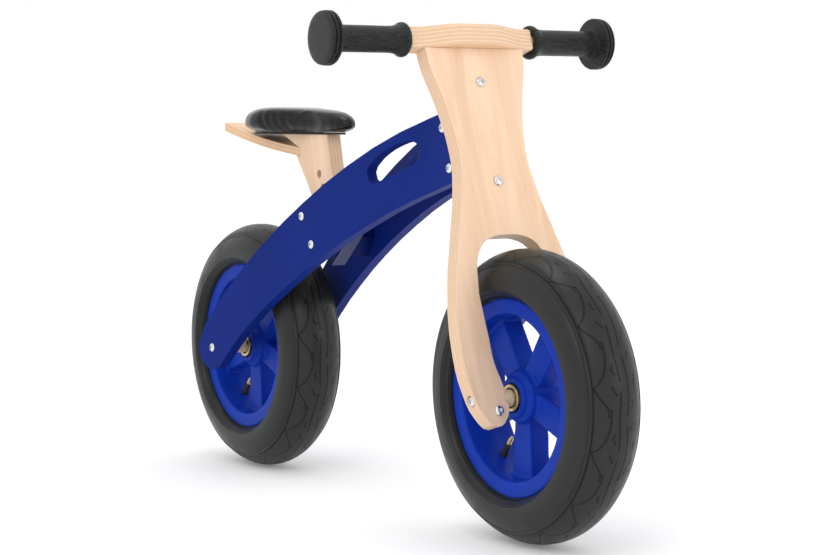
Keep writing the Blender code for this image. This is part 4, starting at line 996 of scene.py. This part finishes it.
class BIKE_OT_boards(Builder):
    """Finishes the wooden boards, the painted side panels and the hidden metal parts"""

    bl_idname = "bike.boards"
    bl_label = "Boards"

    def execute(self, context):
        for node, (material, bevel) in BOARDS.items():
            dress_node(node, material, bevel)
        for node in METAL:
            dress_node(node, "zinc", 0.25)
        for end in ("front", "rear"):
            dress_node(f"{end}_inner_tube", "tube_rubber", 0.2)
        return {"FINISHED"}


# ---------------------------------------------------------------- stage
def area_light(name, place, target, size, power, colour=(1, 1, 1)):
    data = bpy.data.lights.new(name, "AREA")
    data.shape = "RECTANGLE"
    data.size, data.size_y = size
    data.energy = power
    data.color = colour
    light = bpy.data.objects.new(name, data)
    bpy.context.scene.collection.objects.link(light)
    light.location = place
    light.rotation_euler = (Vector(target) - Vector(place)).to_track_quat("-Z", "Y").to_euler()
    return light


class BIKE_OT_stage(Builder):
    """Sets the pale floor, the soft lights and the camera"""

    bl_idname = "bike.stage"
    bl_label = "Stage"

    def execute(self, context):
        clean_start()
        bpy.ops.mesh.primitive_plane_add(size=240, location=(0, 0, -0.0004))
        floor = context.object
        floor.name = "pale_floor"
        s = Shader("floor_paper")
        mottle = s.noise(3, 3)
        s.set(Base_Color=s.mix(mottle, (0.90, 0.90, 0.90, 1), (0.93, 0.93, 0.93, 1)), Roughness=0.85)
        s.set(Normal=s.bump(s.noise(300, 2), 0.0002, 0.1))
        s.set(Emission_Color=(1, 1, 1, 1), Emission_Strength=0.13)
        floor.data.materials.append(s.material)

        world = bpy.data.worlds.new("studio")
        world.use_nodes = True
        background = world.node_tree.nodes["Background"]
        background.inputs["Color"].default_value = (1.0, 1.0, 1.0, 1)
        background.inputs["Strength"].default_value = 1.0
        context.scene.world = world
        context.scene.view_settings.view_transform = "Standard"
        context.scene.view_settings.look = "None"

        area_light("key", (1.6, -2.2, 2.4), (0, 0, 0.25), (1.5, 1.5), 14)
        area_light("side", (2.6, 1.0, 1.2), (0, 0, 0.3), (0.8, 1.6), 8)
        area_light("top", (-0.4, -0.2, 2.6), (0, 0, 0.2), (1.2, 0.7), 7)

        data = bpy.data.cameras.new("camera")
        camera = bpy.data.objects.new("camera", data)
        context.scene.collection.objects.link(camera)
        azimuth, pitch, roll = radians(56.96), radians(3.17), radians(-0.02)
        back = Vector((sin(azimuth) * cos(pitch), -cos(azimuth) * cos(pitch), sin(pitch)))
        right = Vector((cos(azimuth), sin(azimuth), 0))
        turn = Matrix((right, back.cross(right), back)).transposed().to_4x4()
        place = Matrix.Translation((1.93635, -1.21217, 0.43349))
        camera.matrix_world = place @ turn @ Matrix.Rotation(roll, 4, "Z")
        data.sensor_width = 36
        data.lens = 87.84
        data.shift_x = -0.0027
        data.shift_y = -0.0589
        data.clip_end = 400
        context.scene.camera = camera
        return {"FINISHED"}


# ---------------------------------------------------------------- add-on
STEPS = (
    BIKE_OT_tyres, BIKE_OT_rims, BIKE_OT_hubs, BIKE_OT_bolts, BIKE_OT_grips, BIKE_OT_saddle,
    BIKE_OT_boards, BIKE_OT_stage,
)


class BIKE_PT_panel(bpy.types.Panel):
    """The bike's build steps and settings"""

    bl_idname = "BIKE_PT_panel"
    bl_label = "Balance Bike"
    bl_space_type = "VIEW_3D"
    bl_region_type = "UI"
    bl_category = "Bike"

    def draw(self, context):
        for group in (context.scene.bike_sizes, context.scene.bike_colours):
            box = self.layout.box()
            for name in group.__annotations__:
                box.prop(group, name)
        for step in STEPS:
            self.layout.operator(step.bl_idname)


CLASSES = (BikeSizes, BikeColours) + STEPS + (BIKE_PT_panel,)


def register():
    for item in CLASSES:
        bpy.utils.register_class(item)
    bpy.types.Scene.bike_sizes = PointerProperty(type=BikeSizes)
    bpy.types.Scene.bike_colours = PointerProperty(type=BikeColours)


def unregister():
    del bpy.types.Scene.bike_colours
    del bpy.types.Scene.bike_sizes
    for item in reversed(CLASSES):
        bpy.utils.unregister_class(item)


def main():
    register()
    bpy.ops.bike.tyres()
    bpy.ops.bike.rims()
    bpy.ops.bike.hubs()
    bpy.ops.bike.bolts()
    bpy.ops.bike.grips()
    bpy.ops.bike.saddle()
    bpy.ops.bike.boards()
    bpy.ops.bike.stage()


if __name__ == "__main__":
    main()
